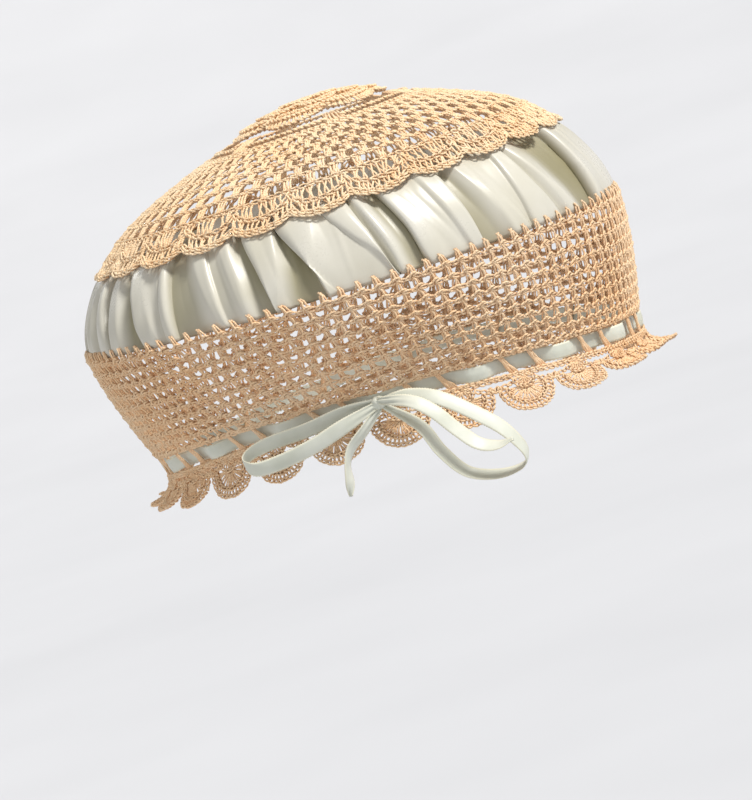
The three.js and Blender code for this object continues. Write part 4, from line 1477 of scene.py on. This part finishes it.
@dataclass
class Bow:
    """The bow at the right temple: a knot, two loops and two tails."""

    angle: float = 80.0
    stand_off: float = 4.1
    step: float = 0.55
    knot: tuple = (6.4, 6.0, 4.6)
    points: int = 400
    least_width: float = 0.05
    knot_wraps: float = 2.0
    wrap_depth: float = 0.1
    waist_depth: float = 0.12
    waist_width: float = 0.12
    lengths: dict = field(
        default_factory=lambda: {
            "bow_loop_front": 52.0, "bow_loop_back": 60.0, "bow_tail_front": 48.0, "bow_tail_back": 34.0
        }
    )
    bends: dict = field(
        default_factory=lambda: {
            "bow_loop_front": (
                Bend(0.02, 0.005, 0.055, (0, 0.35, 1), 0.45),
                Bend(0.25, -0.01, 0.11, (0, 0.5, 1), 1),
                Bend(0.49, -0.1, 0.15, (0.2, 0.7, 1), 1),
                Bend(0.82, -0.39, 0.15, (0.5, 0.6, 1), 1),
                Bend(0.96, -0.6, 0.11, (1, 0.4, 0.7), 1),
                Bend(0.98, -0.73, 0.05, (1, -0.3, 0.1), 1),
                Bend(0.9, -0.8, 0.01, (0.4, -1, -0.3), 1),
                Bend(0.7, -0.8, 0.02, (0, -1, -0.6), 1),
                Bend(0.49, -0.71, 0.04, (-0.5, -1, -0.8), 1),
                Bend(0.35, -0.5, 0.06, (-1, -0.5, -1), 1),
                Bend(0.25, -0.26, 0.06, (-1, -0.5, -1.2), 0.9),
                Bend(0.02, -0.03, 0.02, (-0.4, -0.5, -1), 0.4),
            ),
            "bow_loop_back": (
                Bend(-0.01, 0.01, 0.015, (0, 0.25, -1), 0.4),
                Bend(-0.25, 0.0, 0.03, (0, 0.3, -1), 0.95),
                Bend(-0.52, -0.035, 0.02, (0, 0.3, -1), 1),
                Bend(-0.8, -0.05, 0.0, (-0.2, 0.4, -1), 1),
                Bend(-0.95, -0.08, 0.005, (-0.8, 0.5, -0.7), 1),
                Bend(-1, -0.13, 0.045, (-1, 0, 0.1), 1),
                Bend(-0.93, -0.185, 0.09, (-0.6, -0.3, 1), 1),
                Bend(-0.75, -0.185, 0.1, (0, -0.2, 1), 1),
                Bend(-0.5, -0.145, 0.11, (0, -0.1, 1), 1),
                Bend(-0.25, -0.075, 0.105, (0, 0, 1), 0.95),
                Bend(-0.01, -0.01, 0.055, (0, 0, 1), 0.45),
            ),
            "bow_tail_front": (
                Bend(0.0, 0.02, 0.08, (-0.5, 0.2, 1), 0.4),
                Bend(0.28, -0.04, 0.24, (0.2, 0.8, 1), 0.9),
                Bend(0.45, -0.17, 0.28, (0.4, 0.8, 1), 1),
                Bend(0.6, -0.38, 0.28, (0.6, 0.7, 1), 1),
                Bend(0.73, -0.54, 0.27, (0.4, 0.9, 0.9), 1),
                Bend(0.88, -0.6, 0.27, (0, 1, 0.6), 0.9),
                Bend(1.03, -0.59, 0.27, (-0.2, 1, 0.3), 0.3),
            ),
            "bow_tail_back": (
                Bend(-0.01, -0.06, 0.08, (0.6, 0.2, 1), 0.4),
                Bend(-0.25, -0.26, 0.14, (1, -0.2, 0.9), 0.75),
                Bend(-0.46, -0.42, 0.16, (1, -0.2, 0.6), 0.9),
                Bend(-0.56, -0.6, 0.16, (1, 0, 0.25), 0.95),
                Bend(-0.6, -0.8, 0.15, (1, 0, 0.5), 0.95),
                Bend(-0.66, -0.97, 0.12, (1, 0, 1.3), 0.1),
            ),
        }
    )

    def __post_init__(self) -> None:
        """Set the bow's own three directions and its middle."""
        out = FORM.normal(np.array(self.angle), np.array(0.0))
        out[2] = 0
        self.out = unit(out)
        self.up = np.array([0.0, 0.0, 1.0])
        self.ahead = -np.cross(self.out, self.up)
        self.middle = FORM.off(np.array(self.angle), np.array(0.0), np.array(self.stand_off))

    def direction(self, ahead: float, up: float, out: float) -> np.ndarray:
        """Return a direction from its three parts."""
        return self.ahead * ahead + self.up * up + self.out * out

    def build(self, ribbon: RibbonCloth, material: bpy.types.Material) -> None:
        """Model the knot, the loops and the tails."""
        for name, bends in self.bends.items():
            size = self.lengths[name]
            points = np.array([self.middle + self.direction(b.ahead, b.up, b.out) * size for b in bends])
            faces = np.array([unit(self.direction(*b.face)) for b in bends])
            wide = np.array([[b.wide] for b in bends])
            dense = through(np.concatenate([points, faces, wide], axis=1), self.points)
            run = run_along(dense[:, :3])
            marks = np.arange(0, run[-1], self.step)
            even = np.stack([np.interp(marks, run, values) for values in dense.T], axis=-1)
            piece = ribbon.lay(name, even[:, :3], unit(even[:, 3:6]), np.clip(even[:, 6], self.least_width, 1), False)
            settle(piece, material, (name,))
        self.build_knot(ribbon, material)

    def build_knot(self, ribbon: RibbonCloth, material: bpy.types.Material) -> None:
        """Model the knot as a squashed ball with the creases of a wrapped ribbon."""
        let_go()
        bpy.ops.mesh.primitive_uv_sphere_add(segments=40, ring_count=24, radius=0.5)
        piece = bpy.context.object
        piece.name = piece.data.name = "bow_knot"
        mesh = piece.data
        ball = np.array([vertex.co for vertex in mesh.vertices])
        turn = np.arctan2(ball[:, 1], ball[:, 2])
        wrapped = np.abs(np.sin(turn * self.knot_wraps + ball[:, 0] * 5)) ** 6
        waist = np.exp(-((ball[:, 0] / self.waist_width) ** 2))
        crease = 1 - self.wrap_depth * wrapped - self.waist_depth * waist
        shaped = ball * crease[:, None] * np.array(self.knot)
        shaped = self.middle + self.out * self.knot[2] / 2 + (
            shaped[:, :1] * self.ahead + shaped[:, 1:2] * self.up + shaped[:, 2:] * self.out
        )
        mesh.vertices.foreach_set("co", (shaped * MM).ravel())
        index = corner_of_loops(mesh)
        flat = np.stack([turn[index] * ribbon.width / 2, ball[index, 0] * ribbon.width], axis=-1)
        spread_out(mesh, flat, {"hem": np.zeros(len(ball))})
        settle(piece, material, ("bow_knot",))


@dataclass
class Studio:
    """The camera, the floor and the lights; lengths in metres.

    Each lamp has a name, the two angles that it stands at, how wide it looks, its strength and its colour.
    """

    picture: tuple = (752, 800)
    pivot: tuple = (360.0, 300.0)
    pixels_per_mm: float = 2.4
    aim: tuple = (0.0, 0.0045, 0.0417)
    azimuth: float = -72.0
    elevation: float = 5.0
    roll: float = 18.0
    distance: float = 2.2
    floor_drop: float = 0.6
    film_width: float = 36.0
    sky: tuple = (0.97, 0.98, 1.0, 1)
    sky_strength: float = 0.36
    lamps: tuple = (
        ("key", -14.0, 53.0, 12.0, 3.6, (1.0, 0.98, 0.95)),
        ("fill", -105.0, 30.0, 40.0, 0.3, (1.0, 0.97, 0.94)),
        ("rim", 140.0, 40.0, 25.0, 0.5, (0.95, 0.97, 1.0)),
    )
    sweep: tuple = ((6.0, 0.0), (7.5, 0.05), (9.0, 0.2), (10.5, 0.5), (12.0, 1.0), (13.5, 1.8), (15.0, 3.0))

    def build(self, paper: bpy.types.Material) -> None:
        """Set up the studio."""
        self.build_camera()
        self.build_floor(paper)
        self.build_lights()

    def back(self, azimuth: float, elevation: float) -> Vector:
        """Return the direction from the cap towards a viewer."""
        a, e = math.radians(azimuth), math.radians(elevation)
        return Vector((math.sin(a) * math.cos(e), -math.cos(a) * math.cos(e), math.sin(e)))

    def build_camera(self) -> None:
        """Place the camera where the picture was taken from."""
        data = bpy.data.cameras.new("camera")
        camera = bpy.data.objects.new("camera", data)
        bpy.context.collection.objects.link(camera)
        wide, high = self.picture
        data.sensor_width = self.film_width
        data.lens = data.sensor_width * self.distance / (max(wide, high) / self.pixels_per_mm * MM)
        back = self.back(self.azimuth, self.elevation)
        turned = back.to_track_quat("Z", "Y").to_matrix().to_4x4() @ Matrix.Rotation(-math.radians(self.roll), 4, "Z")
        right, up = turned.col[0].xyz, turned.col[1].xyz
        shift_x = (wide / 2 - self.pivot[0]) / self.pixels_per_mm * MM
        shift_y = (self.pivot[1] - high / 2) / self.pixels_per_mm * MM
        spot = Vector(self.aim) + right * shift_x + up * shift_y
        camera.matrix_world = Matrix.Translation(spot + back * self.distance) @ turned
        data.clip_start, data.clip_end = 0.1, 200.0
        bpy.context.scene.camera = camera
        bpy.context.scene.view_settings.view_transform = "Standard"

    def build_floor(self, paper: bpy.types.Material) -> None:
        """Lay a wide round sheet of pale paper under the cap, whose edge curves up all round."""
        let_go()
        radius, height = self.sweep[0]
        bpy.ops.mesh.primitive_circle_add(vertices=96, radius=radius, fill_type="TRIFAN")
        floor = bpy.context.object
        floor.name = "floor"
        for next_radius, next_height in self.sweep[1:]:
            bpy.ops.object.mode_set(mode="EDIT")
            bpy.ops.mesh.select_mode(type="EDGE")
            bpy.ops.mesh.select_all(action="DESELECT")
            bpy.ops.object.mode_set(mode="OBJECT")
            for edge in floor.data.edges:
                ends = [floor.data.vertices[end].co.xy.length for end in edge.vertices]
                edge.select = min(ends) > radius - 0.01
            bpy.ops.object.mode_set(mode="EDIT")
            bpy.ops.mesh.extrude_region_move(TRANSFORM_OT_translate={"value": (0, 0, next_height - height)})
            scale = next_radius / radius
            bpy.ops.transform.resize(value=(scale, scale, 1), center_override=(0, 0, 0))
            bpy.ops.object.mode_set(mode="OBJECT")
            radius, height = next_radius, next_height
        bpy.ops.object.mode_set(mode="EDIT")
        bpy.ops.mesh.select_all(action="SELECT")
        bpy.ops.transform.translate(value=(0, 0, -self.floor_drop))
        bpy.ops.mesh.normals_make_consistent(inside=False)
        bpy.ops.object.mode_set(mode="OBJECT")
        floor.data.shade_smooth()
        floor.data.materials.append(paper)

    def build_lights(self) -> None:
        """Hang soft lights: a key from the front right, a fill and a rim from behind."""
        world = bpy.data.worlds.new("studio")
        bpy.context.scene.world = world
        world.use_nodes = True
        sky = world.node_tree.nodes["Background"].inputs
        sky["Color"].default_value, sky["Strength"].default_value = self.sky, self.sky_strength
        for name, azimuth, elevation, spread, strength, colour in self.lamps:
            data = bpy.data.lights.new(name, "SUN")
            data.energy, data.angle, data.color = strength, math.radians(spread), colour
            lamp = bpy.data.objects.new(name, data)
            bpy.context.collection.objects.link(lamp)
            back = self.back(azimuth, elevation)
            lamp.location = Vector(self.aim) + back
            lamp.rotation_mode = "QUATERNION"
            lamp.rotation_quaternion = back.to_track_quat("Z", "Y")


def main() -> None:
    """Build the studio and dress the cap, piece by piece."""
    logging.basicConfig(level=logging.INFO, format="%(message)s")
    Studio().build(PalePaper().make())
    cotton = Cotton(CottonThread().make())
    ribbon = RibbonCloth()
    ribbon_satin = NarrowRibbonSatin().make()
    SatinBand().build(CeladonSatin().make())
    Crown().build(replace(cotton, thread=0.47))
    # Painted shade: the side net, the eyelet row and the edging are painted darker all over than the crown.
    shaded_cotton = replace(cotton, painted_light=0.7)
    SideNet().build(replace(shaded_cotton, thread=0.48))
    EyeletRow().build(replace(shaded_cotton, thread=0.5))
    ShellEdging().build(replace(cotton, painted_light=0.72))
    Drawstring().build(ribbon, ribbon_satin)
    Bow().build(ribbon, ribbon_satin)


if __name__ == "__main__":
    main()
